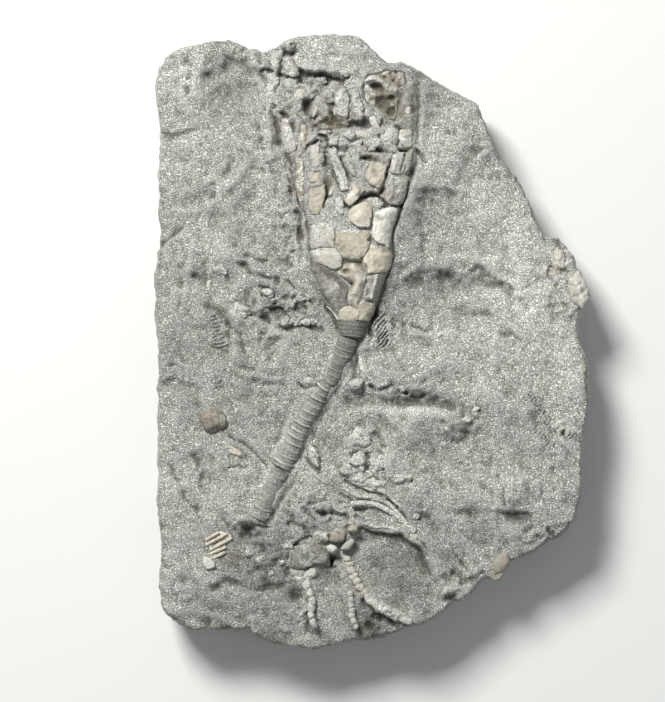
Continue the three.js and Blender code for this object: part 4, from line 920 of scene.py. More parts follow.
def sink(z, x, y, covers):
    """Dips the rock under every piece that lies in it, with an uneven crevice round it."""
    for outline, level in covers:
        at = near(x, y, outline, 2.0)
        within = inside(x[at], y[at], outline)
        gap, _, _ = follow(x[at], y[at], np.vstack([outline, outline[:1]]))
        sunk = level(x[at], y[at]) - POCKET_DIP
        here = z[at]
        here = here + np.minimum(sunk - here, 0) * np.where(within, smoothstep(-0.1, 0.5, gap), 0)
        crevice = CREVICE * smoothstep(-0.1, 0.5, noise(x[at], y[at], 0, 2.6, 71))
        z[at] = here - crevice * np.where(within, 1, np.exp(-(gap / 0.4) ** 2))


def crown_bed(x, y, wx, wy, across):
    """The rock that fills the crown, and how far it holds: the dome less a depth, loose planes in its upper
    part, and the listed folds and mounds."""
    up = y + 0.12 * (x + 13)
    upper = smoothstep(28, 36, y)
    bed = crown_height(x, y) - CUP_BED + upper * (CUP_BED - CROWN_BED) + 0.3 * rough(x, y, 0, 2.6, 3, 63)
    loose = 0.5 * rough(wx, wy, 0, 5.5, 2, 61) + 0.35 * shards(wx, wy, 3.4, 2, 67, 0.5)
    bed = bed + upper * smoothstep(66.5, 64.5, up) * loose
    bed = add_mounds(add_folds(bed, wx, wy, CROWN_FOLDS), wx, wy, CROWN_MOUNDS)
    bed = bed + 1.1 * smoothstep(64.2, 65.6, up) * smoothstep(12, 2, np.abs(x + 9))
    return bed, smoothstep(1.04, 0.9, across) * smoothstep(3.6, 4.6, y)


# The stem's middle line, and a line through the whole fossil, near which the rock is calmer.
STEM_LINE = [(-5.7, 1.2), (-8.1, -5), (-10.6, -9.6), (-13.5, -13.2), (-16.2, -18), (-19.3, -24.5),
             (-22.2, -30.6), (-25.1, -37), (-27.5, -42.2)]
FOSSIL_LINE = [(-8, 62), (-4.5, 10), (-5.7, 1.2), (-13.5, -13.2), (-27.5, -42.2), (-14, -48), (-5, -60)]


def stem_bed(x, y, z):
    """Rock banked up against the stem's left side, a deep groove along its right, and a soft mound."""
    gap, side, run = follow(x, y, STEM_LINE)
    patchy = 0.75 + 0.5 * noise(run, 4, 0, 6, 83)
    bank = 1.0 * patchy * np.exp(-(np.clip(gap - 1.8, 0, None) / 1.5) ** 2)
    groove = 0.7 * patchy * np.exp(-((gap - 2.75) / 0.55) ** 2)
    ends = smoothstep(0.05, 1.5, run) * smoothstep(run.max(), run.max() - 1.5, run)
    lean = 0.9 * np.exp(-(np.clip(gap - 2.6, 0, None) / 2.2) ** 2)
    return z + np.where(side < 0, bank, lean - groove) * ends


def rock_height(x, y, outline, covers):
    """The split face: its level, the fall to its rim, broad and fine swells, banks beside the crown, its bed,
    the listed folds, mounds, scarps, ladders and rubble, the stem's bed, and dips under every piece."""
    rim_gap, _, _ = follow(x, y, np.vstack([outline, outline[:1]]))
    wx = x + 0.45 * rough(x, y, 0, 3.5, 3, 301)
    wy = y + 0.45 * rough(x, y, 9, 3.5, 3, 307)
    calm = smoothstep(4, 14, follow(x, y, FOSSIL_LINE)[0])
    z = FACE - RIM_DROP * np.exp(-rim_gap / RIM_WIDTH)
    z = z + (0.5 + 1.3 * calm) * rough(x, y, 0, 22, 2, 11) + (0.5 + 0.6 * calm) * rough(wx, wy, 3, 9, 3, 23)
    z = z + 0.13 * rough(wx, wy, 5, 2.4, 4, 37, 0.62) + 0.27 * shards(wx, wy, 6.5, 3, 71, 0.55, 5.0)
    middle, half = (np.interp(y, CROWN_ROWS[:, 0], CROWN_ROWS[:, k]) for k in (1, 2))
    flank = smoothstep(8, 26, y) * (1 - 0.55 * smoothstep(36, 46, y)) * smoothstep(72, 60, y)
    for gap, depth, width in ((x - middle - half, 2.9, 5.5), (middle - half - x, 1.3, 4.0)):
        bank = depth * np.exp(-(np.clip(gap, 0, None) / width) ** 2)
        z = z + bank * smoothstep(-1.6, 0.2, gap) * flank
    bed, over = crown_bed(x, y, wx, wy, np.abs(x - middle) / half)
    z = np.where(over > 0, smooth_max(z, z * (1 - over) + bed * over, 0.5), z)
    z = add_mounds(add_folds(z, wx, wy, FOLDS), wx, wy, MOUNDS)
    add_scarps(z, wx, wy)
    add_ladders(z, x, y, wx, wy)
    add_rubble(z, wx, wy)
    z = stem_bed(x, y, z)
    sink(z, x, y, covers)
    return z


# Marks on the plates: folds and mounds as on the rock.
PLATE_FOLDS = [
    (0.8, 1.1, -0.55, -15, 19.8, -12.6, 18, -9.6, 16.1, -7.2, 14.6),
    (0.8, 0.7, 1, -4.7, 18.2, -3.8, 16.4, -3.2, 14.6, -3.6, 13, -4.4, 12),
    (0.7, 0.8, -0.8, -7.8, 15.5, -6.6, 14.8, -5.4, 13.9),
    (0.6, 0.7, -0.9, -6.4, 19.5, -4.4, 19.3, -2.6, 18.6, -1.7, 17.4),
    (0.35, 0.3, 0.6, 1.1, 16.2, 0.7, 14.2, 0.1, 12.2, -0.1, 10.8),
    (0.3, 0.3, -0.5, -1.5, 14.6, -1, 12.8, -1.1, 11.6), (0.25, 0.25, -0.7, -2.6, 10.7, -1, 10, 0.5, 9.6),
    (0.25, 0.25, -0.35, -6.3, 10.4, -5.4, 9.4, -4.8, 8.8),
    (0.3, 0.25, -1.4, -0.9, 24.4, -0.1, 24.6, 0.3, 24, 1.6, 23.2, 2.6, 23, 3.3, 22.2, 4.3, 22),
    (0.4, 0.35, -0.45, 0.8, 30.2, 1.6, 29.6, 2.4, 29.3),
    (0.6, 0.7, 0.35, 0.8, 30.9, 2.4, 30.8, 4, 31.6, 5.4, 31.4),
    (0.4, 0.5, 0.6, -4.6, 38, -4.2, 36.8, -3.6, 36), (0.35, 0.35, -0.5, -3, 37.4, -2.6, 36.4, -3.2, 35.6),
    (0.3, 0.3, -0.6, 7.9, 45.2, 7.4, 43, 7, 41.2), (0.4, 0.5, 0.4, 5.8, 45, 5.4, 43, 5.2, 41.4),
    (0.5, 0.5, -0.3, 5.2, 39, 5.6, 36.4, 5.2, 34.4), (0.5, 0.6, -0.35, 0.6, 42.8, 0.4, 41.2, 0.8, 40),
    (0.3, 0.3, -0.2, -14.2, 35, -12.6, 35.4),
    (0.6, 0.5, 1.1, -1.8, 62.6, 0.2, 63.2, 2.4, 62.4, 3.6, 60.8, 5.6, 60.4),
    (0.5, 0.5, 0.5, -1.8, 58.4, -0.6, 57.2, 1, 56.8), (0.5, 0.5, 0.6, 6.8, 64.4, 7.6, 62.4, 7.4, 61),
    (0.5, 0.5, -0.5, -19.5, 52.3, -18, 53.6, -16.4, 54.2), (0.4, 0.4, 0.4, -8.6, 57, -7.6, 58.6, -7.4, 60.4),
    (0.4, 0.4, 0.4, -4.6, 57.6, -3.4, 56.4, -2.8, 54.4),
    (0.7, 0.7, -0.35, -17.6, -50.2, -15.4, -51.4, -13.2, -50.4),
    (0.5, 0.5, -0.4, -14.6, -52.6, -13.2, -51.4, -12, -49.8),
    (0.5, 0.5, 0.5, 48.3, 15.6, 49.6, 13, 50.6, 10), (0.3, 0.3, -0.4, 47.6, 14, 48.8, 13.4, 50, 14.4),
    (0.3, 0.3, -0.3, 48.4, 11.2, 49.8, 11.6, 51, 12.8),
]
PLATE_MOUNDS = [
    (-6.4, 17, 1.2, 0.9, -0.8), (-5.2, 13.9, 0.8, 0.6, -1, 20), (-9.5, 12.8, 2.4, 2.6, 0.3),
    (1.2, 18.6, 1.6, 1.2, -0.2), (0.8, 61.4, 2, 1.1, -1.7, -10), (2.2, 60.4, 0.9, 0.7, -0.8),
    (2.4, 57.6, 2.2, 2, -1.4), (4.6, 58.6, 1.3, 0.9, -1.3), (4.4, 55.4, 1.4, 1.6, -1.1),
    (5, 62.7, 0.6, 0.5, -0.8), (4.4, 64.6, 0.8, 0.6, -0.6), (5.6, 64.8, 0.5, 0.5, -0.7),
    (3, 63.6, 0.7, 0.5, -0.6), (6.4, 63.4, 0.5, 0.6, 0.5), (4.8, 56.8, 0.6, 0.5, 0.6),
    (0.2, 59.2, 1, 0.7, 0.6), (3.6, 61.4, 0.6, 0.5, 0.4), (7.7, 61.8, 0.6, 0.5, 0.5),
    (-18.4, 52.2, 1, 1.4, -0.5), (-20.4, 49.2, 1, 2.4, 0.3), (-16.8, 49, 0.8, 1.6, 0.3),
    (0.6, 38.6, 1.4, 1.2, 0.25), (-3, 30.6, 2, 1.8, 0.2),
]
# Rock left on the plates: middle, half widths, amount, and any turn.
COVER = [
    (-12, 26.4, 4.2, 4.2, 0.55), (-5, 27.4, 5.5, 1.7, 0.9), (-13.4, 21.8, 2.4, 1.6, 0.6),
    (-2.6, 10.2, 2.6, 1.2, 0.6), (-7.2, 15.6, 2, 1.4, 0.5), (-1.4, 13.4, 1.6, 3, 0.45),
    (-5.8, 10.4, 1.4, 1.4, 0.45), (-5.6, 35.6, 1.6, 1.6, 0.4), (6, 44, 3, 2.4, 0.35),
    (-20.6, 50, 2.2, 5, 0.5), (-16.6, 50, 1.6, 3.4, 0.4), (-7.4, 57, 2.4, 5, 0.8), (-3.6, 57, 2.4, 5, 0.8),
    (-19.6, 66, 3, 3.4, 0.55), (-17.4, 38, 2, 8, 0.55), (5.8, 36.5, 2.4, 4, 0.45), (8, 49, 2.4, 2.6, 0.5),
    (-9, 12.6, 3.6, 5, 0.25), (-15.5, -51, 7, 6, 0.4), (-1.2, 61, 1.8, 5, 0.7), (3, 65.6, 6, 1.6, 0.6),
    (1, 55, 3, 1.6, 0.6), (-11.8, -45.6, 1.6, 1.2, 0.8), (-9, -47, 5, 3, 0.35), (-14.2, -27.4, 2.4, 4, 0.7),
    (-13.6, 39.6, 1.6, 2.2, 0.25), (-0.6, 37.2, 1.6, 0.8, 0.5),
]


# Brown dirt on the rock: middle, half widths, amount, and any turn.
STAINS = [
    (-20, 50, 5, 12, 0.7), (-18, 34, 4, 12, 0.7), (-16.5, 24, 2.4, 6, 0.6, 10), (-10, 53.5, 8, 5, 1),
    (-10, 41, 4.4, 9, 0.9), (6, 58, 6, 8, 1), (2.6, 35, 6, 3, 0.8), (0, 45, 8, 5, 0.7), (-14, 58, 7, 7, 0.8),
    (-20.5, 55.5, 4, 4, 1), (-5, 13, 9, 12, 0.7), (-17, -34, 3, 3, 0.5), (-11, -22.5, 2.4, 4, 0.5, 20),
    (-37, -19, 5.5, 5.5, 1), (-33, -51.5, 4.5, 6, 1), (9.6, 2.2, 4, 1.6, 0.5), (43.6, 17.4, 2.6, 2.6, 1),
    (34.5, 40.5, 3, 2, 0.6), (39, 30.5, 2, 2, 0.6), (22, -58.5, 4, 3, 0.7), (-30.5, 2, 5, 4, 0.3),
    (3, -61, 8, 5, 0.6, -30), (-3, -67, 5, 6, 0.6),
]


# Broad lighter and darker stretches of the rock, partly its own tone and partly painted light and shade of
# its slopes, dish and ledges: middle, half widths, amount, and any turn.
TONE_AND_PAINTED_SHADE = [
    (34, 20, 20, 36, 0.75), (18, 44, 12, 10, 0.35), (27, 33, 7, 9, 0.6), (40, 6, 9, 9, 0.2),
    (46, 2, 9, 26, 0.65), (6, -56, 15, 10, -0.7, -20), (-38, -8, 18, 30, -0.2), (-30, -54, 22, 12, -0.35),
    (1, -68, 9, 6, -0.9, -20), (-34, 60, 8, 9, -0.3), (-33, 68.5, 6, 2.4, -0.4), (-48, 48, 4, 5, -0.35),
    (-46, 28, 5, 6, 0.3), (-37, 35.5, 7, 3.5, 0.35, 20), (-25, 40, 4, 16, 0.3), (-46, 5, 5, 9, -0.25),
    (-37, 6, 6, 5, -0.35), (-24, 8, 6, 5, -0.55), (-22, 15, 6, 5, -0.3), (-14, 6, 8, 5, -0.3),
    (-38, -13, 7, 3, 0.3), (-36, -20, 4, 3, -0.3), (-40, -30, 9, 3, -0.3), (-32, -46, 7, 3, -0.6),
    (-38, -60, 10, 5, -0.25), (-15, -45, 4, 3, -0.6), (-24, -50, 6, 4, -0.4), (-19, -59, 4, 4, -0.7),
    (-28, -57, 6, 4, -0.4), (-9.5, -54, 4, 4, -0.6), (16, 36, 8, 2.6, -0.45), (20, 14.5, 14, 5, -0.85),
    (22, 2.5, 14, 3, 0.3), (8, -12, 12, 3, -0.5, -6), (10, -16.4, 12, 2, 0.95), (20, -20, 5, 4, -0.3),
    (25, -40.5, 5, 3.4, -0.55), (35, -42, 4.5, 3, -0.7), (12, -41, 5, 3, -0.4), (27, 46, 4, 3, -0.3),
    (19, 51, 4, 3, -0.25), (-9, 54, 9, 12, -0.25), (-17, 34, 4, 12, -0.3), (-20, -58, 18, 12, -0.4),
    (-8, -63, 6, 9, -0.45), (-26, -47, 10, 4, -0.25), (-45, 64, 6, 9, 0.35), (-39, 30, 8, 9, 0.25),
    (-7, 69, 14, 5, 0.45), (20, 53, 9, 7, 0.3), (12.5, -42, 4, 2.4, -0.4), (-12, 44, 5, 8, -0.35),
    (43, -18.5, 9, 2, 0.5, -40),
]


def rock_values(points, cavity):
    """The values of each point of the rock: its hollows, which the finish turns into painted shade and grime,
    brown stains, and how light it is, which is the listed stretches of its own tone and of painted light and
    shade, and uneven patches."""
    x, y, _ = points.T
    tone = 0.55 * rough(x, y, 0, 20, 3, 91)
    # Painted light and shade: the listed stretches lighten slopes that face the light and darken the dish,
    # hollows and ledges, besides the rock's own tone.
    for row in TONE_AND_PAINTED_SHADE:
        a, b = local_axes(x, y, row[:4], *row[5:])
        tone = tone + row[4] * smoothstep(1.2, 0.1, np.hypot(a, b))
    return {"cavity": cavity, "stain": most(x, y, STAINS, 1.2, 0.2), "tone": tone}


# Near and wide surroundings: area of the average in square millimetres, height that counts as full.
SURROUNDINGS = ((0.6, 0.45), (7.0, 0.8))


def blurred(grid, rounds):
    """A grid of heights, each averaged with its neighbours again and again."""
    for _ in range(rounds):
        wide = np.pad(grid, 1, mode="edge")
        beside = wide[:-2, 1:-1] + wide[2:, 1:-1] + wide[1:-1, :-2] + wide[1:-1, 2:]
        grid = (2 * grid + beside) / 6
    return grid


def hollowness(z, cell):
    """How far each height of a grid stands over its surroundings, near and wide, from -1 to 1."""
    total = 0
    for area, height in SURROUNDINGS:
        total = total + (z - blurred(z, int(area / cell ** 2) + 1)) / height
    return np.clip(total, -1, 1)


def shrink(points, inset):
    """Points drawn towards the origin by a distance."""
    return points * (1 - inset / np.hypot(*points.T))[:, None]


def rock_facts():
    """The rim of the split face and, for each plate that lies in it, its outline and its top's height."""
    covers = [(underside(n), crown_top(n)) for n in {**CUP_PLATES, **ARM_PLATES}]
    covers += [(underside(n), face_top(n)) for n in FACE_PLATES]
    return shrink(slab_outline(), RIM_INSET), covers


# Parts of the face that are made again with finer cells: lower left corner, upper right corner, cell.
PATCHES = {"crown_rock": ((-28, -2), (13.5, 76), 0.24), "lower_rock": ((-20, -72), (14.5, -8.5), 0.29)}


def patch_span(outline, x, patch):
    """The lower and upper end of a patch at each x, held clear of the rim."""
    (_, low), (_, high), _ = patch
    outline = outline[np.argsort(outline[:, 0])]
    upper, lower = outline[outline[:, 1] > 0], outline[outline[:, 1] < 0]
    low = np.maximum(low, np.interp(x, *lower.T) + RIM_CLEAR)
    return low, np.minimum(high, np.interp(x, *upper.T) - RIM_CLEAR)


def patch_depth(outline, x, y, patch):
    """How far each spot lies inside a patch, below zero outside it."""
    low, high = patch_span(outline, x, patch)
    return np.minimum(np.minimum(x - patch[0][0], patch[1][0] - x), np.minimum(y - low, high - y))


def closed_block(grid, rings, tip):
    """A grid of points as the top of a closed block: rings go down from its border, and a fan closes them."""
    columns, rows = grid.shape[:2]
    index = np.arange(columns * rows).reshape(columns, rows)
    faces = np.stack([index[:-1, :-1], index[1:, :-1], index[1:, 1:], index[:-1, 1:]], axis=-1).reshape(-1, 4)
    border = grid_border(index)
    around, start = len(border), columns * rows
    j = np.arange(around)
    after = (j + 1) % around
    first = np.stack([border, start + j, start + after, np.roll(border, -1)], axis=1)
    below = stack_faces(len(rings), around, start)
    last = start + (len(rings) - 1) * around
    fan = np.stack([np.full(around, last + around), last + after, last + j], axis=1)
    points = np.vstack([grid.reshape(-1, 3), np.vstack(rings), [tip]])
    return points, faces.tolist() + first.tolist() + below.tolist() + fan.tolist()


def grid_border(grid):
    """The entries round a grid, counter-clockwise from its first corner."""
    return np.concatenate([grid[:-1, 0], grid[-1, :-1], grid[1:, -1][::-1], grid[0, 1:][::-1]])


def slab_sides(columns, rows, amount):
    """The four sides of the slab's widest ring as lines to the right or upwards, broken up by noise."""
    waist = slab_outline()
    at = [int(np.argmin(np.hypot(*(waist - c).T))) for c in SLAB_CORNERS]
    sides = []
    for k, count in enumerate((columns + 1, rows + 1) * 2):
        start, end = at[k], at[(k + 1) % 4]
        picks = np.arange(start, end + 1 if end > start else end + len(waist) + 1) % len(waist)
        side = resample(waist[picks], count)
        push = 1.3 * noise(*side.T, 0, 4.5, 401) + 0.7 * rough(*side.T, 0, 1.6, 2, 402)
        sides.append(side * (1 + (amount * push - 0.3) / np.hypot(*side.T))[:, None])
    return sides[0], sides[1], sides[2][::-1], sides[3][::-1]


# Plates of the crown and of the open face, by CAD node: finish, and how much lighter or darker it is, partly
# its own tone and partly painted light. Plates on the dome's right side, away from the key lamp, are made
# lighter, and several on its left side darker.
CUP_PLATES = {
    "base_plate_left": ("cream", 0.15), "base_plate_right": ("cream", -0.1),
    "basal_plate_left": ("grey", -0.5), "basal_plate_centre": ("tan", 0), "basal_plate_right": ("grey", 0.5),
    "radial_plate_left": ("pale", -0.1), "radial_plate_centre": ("tan", 0),
    "radial_plate_right": ("tan", 0.95), "radial_plate_upper_left": ("pale", -0.35),
}
ARM_PLATES = {
    "brachial_white": ("pale", 1), "brachial_cream": ("cream", 0.1), "brachial_tooth": ("cream", 0.1),
    "brachial_upper": ("cream", -0.1), "right_arm_1": ("grey", 0.6), "right_arm_2": ("pale", -0.1),
    "right_arm_3": ("grey", 0), "right_arm_4": ("pale", 0.2), "left_arm_1": ("cream", -0.35),
    "left_arm_2": ("tan", 0), "left_arm_3": ("pale", -0.3), "left_arm_4": ("tan", 0),
    "left_arm_5": ("pale", -0.35), "left_outer_arm": ("brown", 0), "finger_ossicle": ("grey", 0),
    "grey_block_left": ("grey", -0.5), "grey_block_right": ("grey", -0.6), "brown_growth": ("brown", -0.2),
}
FACE_PLATES = {
    "stem_side_plate": ("grey", 0), "lower_cup_left": ("tan", -0.3), "lower_cup_middle": ("cream", -0.6),
    "lower_cup_right": ("cream", -0.4), "lower_cup_tilted": ("pale", -0.6), "lower_base": ("grey", -0.85),
    "edge_block": ("pale", 0),
}
# Plates whose shape has values of its own.
PLATE_SHAPES = {
    **dict.fromkeys(("base_plate_left", "base_plate_right"), {"grow": 0.32, "bevel": 0.3}),
    **dict.fromkeys(FACE_PLATES, {"bevel": 0.9}), "brown_growth": {"bevel": 1.3},
}
# Rounded ossicles and nodules: finish, half widths, turn, tone, share of rock left on it.
LUMPS = {
    "right_arm_5": ("cream", (1, 1.5, 1.6), 8, -0.1, 0.3),
    "right_arm_6": ("cream", (0.9, 1.9, 1.6), 8, -0.1, 0.3),
    "cream_nodule": ("cream", (1.6, 2, 1.7), -12, -0.1, 0.3),
    "top_nub": ("cream", (1.4, 1.4, 1.3), 0, -0.1, 0.3),
    "white_nub": ("pale", (1.1, 2.1, 1.4), 22, 0.3, 0.2),
    "lens_plate": ("cream", (2.7, 1.1, 1), -10, -0.1, 0.6),
    "side_lump": ("grey", (1.9, 2.1, 1.5), 0, 0.2, 0.7),
    "lower_cup_knob": ("pale", (1.3, 1, 1.3), 0, -0.1, 0.3),
    "brown_nodule": ("brown", (3.3, 3, 2.1), -20, -0.5, 0.05),
    "shell_fragment": ("shell", (2.1, 1, 0.9), -35, 0.3, 0.1),
}


def crown_top(node):
    """The height of a crown plate: the dome plus the mean lift of the CAD plate's upper corners."""
    points, _ = node_vertices(node)
    upper = points[points[:, 2] > points[:, 2].min() + 1.0]
    lift = np.percentile(upper[:, 2] - crown_height(upper[:, 0], upper[:, 1]), 75)
    return lambda x, y: crown_height(x, y) + lift


def face_top(node):
    """The height of a plate on the open face: level plus a swell that fits the CAD plate's upper corners."""
    high = node_box(node)[1][2]
    middle = centre_of(underside(node))
    return lambda x, y: high - 0.02 * ((x - middle[0]) ** 2 + (y - middle[1]) ** 2)


def add_plates(context, plates, top_of, first_seed, step):
    """One piece for each CAD node of a table, from the node's outline and the height of its top."""
    s = context.scene.fossil_plates
    for k, (node, (slot, tone)) in enumerate(plates.items()):
        shape = {"bevel": s.worn_edge / MM, "bulge": s.bulge / MM, **PLATE_SHAPES.get(node, {})}
        bottom = node_box(node)[0][2]
        points, faces, values = plate(underside(node), top_of(node), bottom, first_seed + step * k, **shape)
        make_piece(node + "_stone", slot, [(points, faces)], {**values, "tone": tone}, node)


def between(bottom, right, top, left):
    """A grid that blends four sides: each pair by its share across, less the blend of the corners."""
    u = np.linspace(0, 1, len(bottom))[:, None, None]
    v = np.linspace(0, 1, len(left))[None, :, None]
    across, up = (1 - u) * left + u * right, (1 - v) * bottom[:, None] + v * top[:, None]
    low, high = (1 - u) * bottom[0] + u * bottom[-1], (1 - u) * top[0] + u * top[-1]
    return across + up - (1 - v) * low - v * high


def slab_wall(edge, rim_z):
    """Rings down the broken wall, from the rim to the foot, with beds and waves, then in over the back."""
    rings = []
    for drop in np.linspace(0, 1, WALL_RINGS + 1)[1:]:
        level = rim_z * (1 - drop)
        inset = np.interp(level, *np.transpose(SLAB_PROFILE))
        base = shrink(edge, inset)
        fade = min(1.0, drop * 6) * (0.4 + 0.6 * min(1.0, (1 - drop) * 8))
        wave = 0.7 * rough(*base.T, level * 1.6, 6, 4, 431)
        beds = 0.35 * noise(*(base.T * 0.15), level, 1.4, 433)
        push = fade * np.clip(wave + beds, -1.2, 0.25 + 0.6 * inset)
        rings.append(np.column_stack([shrink(base, -push), level]))
    foot = rings[-1][:, :2]
    for share, lift in BACK_RINGS:
        ring = foot * share
        rings.append(np.column_stack([ring, lift + 0.35 * np.clip(rough(*ring.T, 0, 9, 3, 441), 0, 1)]))
    return rings


class SlabSettings(bpy.types.PropertyGroup):
    columns: bpy.props.IntProperty(
        name="Columns", description="Cells across the split face", default=215, min=20)
    rows: bpy.props.IntProperty(
        name="Rows", description="Cells up the split face", default=310, min=20)
    edge_roughness: bpy.props.FloatProperty(
        name="Edge roughness", description="How far the broken edge wanders", default=0.0004, unit="LENGTH")


class PlateSettings(bpy.types.PropertyGroup):
    worn_edge: bpy.props.FloatProperty(
        name="Worn edge", description="Width of the rounded shoulder round each plate", default=0.0004,
        unit="LENGTH")
    bulge: bpy.props.FloatProperty(
        name="Bulge", description="How far the middle of a plate stands over its edge", default=0.0002,
        unit="LENGTH")


class StemSettings(bpy.types.PropertyGroup):
    columnal: bpy.props.FloatProperty(
        name="Columnal height", description="Distance from one ring of the stem to the next", default=0.0017,
        unit="LENGTH")
    ring_depth: bpy.props.FloatProperty(
        name="Ring depth", description="How far each ring stands proud", default=0.0002, unit="LENGTH")


class StageSettings(bpy.types.PropertyGroup):
    floor_colour: bpy.props.FloatVectorProperty(
        name="Floor colour", description="Colour of the plain floor", default=(0.72, 0.72, 0.71), size=3,
        subtype="COLOR")
    camera_height: bpy.props.FloatProperty(
        name="Camera height", description="Distance of the camera over the split face", default=0.9,
        unit="LENGTH")
    view_height: bpy.props.FloatProperty(
        name="View height", description="Length of the split face that the view takes in", default=0.16848,
        unit="LENGTH")


class FOSSIL_OT_slab(bpy.types.Operator):
    """Make the slab of siltstone with its split face, broken edge and rough back"""
    bl_idname = "fossil.slab"
    bl_label = "Slab"

    def execute(self, context):
        s = context.scene.fossil_slab
        sides = slab_sides(s.columns, s.rows, s.edge_roughness / MM)
        bottom, right, top, left = sides
        grid = between(*(shrink(side, RIM_INSET) for side in sides))
        x, y = grid[..., 0], grid[..., 1]
        outline, covers = rock_facts()
        z = rock_height(x, y, outline, covers)
        # The hollowness is kept as the cavity value: painted shade and grime in hollows, and rubbed wear and
        # painted highlight where the face stands up.
        cavity = hollowness(z, 0.48)
        for patch in PATCHES.values():
            z = z - PATCH_DIP * smoothstep(1.0, 2.2, patch_depth(outline, x, y, patch))
        block = np.dstack([x, y, z])
        edge = np.vstack([bottom[:-1], right[:-1], top[:0:-1], left[:0:-1]])
        rings = slab_wall(edge, grid_border(block)[:, 2])
        points, faces = closed_block(block, rings, (0.0, 0.0, 0.2))
        low = points[cavity.size:]
        cavity = np.concatenate([cavity.ravel(), 0.4 * np.clip(rough(*low.T, 2.5, 2, 451), -1, 1)])
        make_piece("slab", "siltstone", [(points, faces)], rock_values(points, cavity), "matrix_slab")
        return {"FINISHED"}


class FOSSIL_OT_patches(bpy.types.Operator):
    """Make the parts of the split face round the fossil again in finer relief"""
    bl_idname = "fossil.patches"
    bl_label = "Fine rock"

    def execute(self, context):
        outline, covers = rock_facts()
        for name, patch in PATCHES.items():
            (x0, y0), (x1, y1), cell = patch
            x = np.linspace(x0, x1, int((x1 - x0) / cell))
            low, high = patch_span(outline, x, patch)
            v = np.linspace(0, 1, int((y1 - y0) / cell))[None, :]
            x = np.repeat(x[:, None], v.size, axis=1)
            y = low[:, None] * (1 - v) + high[:, None] * v
            z = rock_height(x, y, outline, covers)
            # The hollowness is kept as the cavity value: painted shade and grime in hollows, and rubbed wear
            # and painted highlight where the face stands up.
            cavity = hollowness(z, cell)
            z = z - PATCH_DIP * smoothstep(1.0, 0.0, patch_depth(outline, x, y, patch))
            grid = np.dstack([x, y, z])
            ring = grid_border(grid).copy()
            ring[:, 2] = WAIST
            tip = (*ring[:, :2].mean(axis=0), WAIST)
            points, faces = closed_block(grid, [ring], tip)
            cavity = np.concatenate([cavity.ravel(), np.zeros(len(ring) + 1)])
            make_piece(name, "siltstone", [(points, faces)], rock_values(points, cavity), "matrix_slab")
        return {"FINISHED"}


class FOSSIL_OT_cup(bpy.types.Operator):
    """Make the plates of the cup: the base, basal and radial plates"""
    bl_idname = "fossil.cup"
    bl_label = "Cup plates"

    def execute(self, context):
        add_plates(context, CUP_PLATES, crown_top, 3, 7)
        return {"FINISHED"}


class FOSSIL_OT_arms(bpy.types.Operator):
    """Make the plates of the arms above the cup"""
    bl_idname = "fossil.arms"
    bl_label = "Arm plates"

    def execute(self, context):
        add_plates(context, ARM_PLATES, crown_top, 101, 11)
        return {"FINISHED"}


class FOSSIL_OT_face_plates(bpy.types.Operator):
    """Make the loose plates on the open face"""
    bl_idname = "fossil.face_plates"
    bl_label = "Face plates"

    def execute(self, context):
        add_plates(context, FACE_PLATES, face_top, 301, 13)
        return {"FINISHED"}


class FOSSIL_OT_lumps(bpy.types.Operator):
    """Make the rounded ossicles and nodules"""
    bl_idname = "fossil.lumps"
    bl_label = "Ossicles and nodules"

    def execute(self, context):
        for k, (node, (slot, halves, turn, tone, cover)) in enumerate(LUMPS.items()):
            low, high = node_box(node)
            shape = ball((low + high) / 2, halves, turn, 501 + k, 0.32)
            make_piece(node + "_stone", slot, [shape], {"tone": tone, "cover": cover}, node)
        return {"FINISHED"}


# Lengths of the stem: tone, strength of the rings, radii from end to end, middle line.
STEM_PIECES = {
    "stem_upper": (-0.5, 0.6, (2.75, 2.5, 2.35, 2.2, 1.9), [
        (-5.7, 1.2), (-6.9, -2), (-8.1, -5), (-9.5, -8.2), (-10.4, -10)]),
    "stem_middle": (0.45, 1, (2, 2.5, 2.65, 2.6, 2.9), [
        (-11, -9.6), (-13.5, -13.2), (-16.2, -18), (-19.3, -24.5), (-21.9, -29.8)]),
    "stem_lower": (0.1, 0.5, (2.65, 2.5, 2.6), [
        (-22.2, -30.6), (-25.1, -37), (-27.5, -42.2)]),
}
STEM_AROUND = 72       # points round the stem
COLLAR_TONE = -0.6


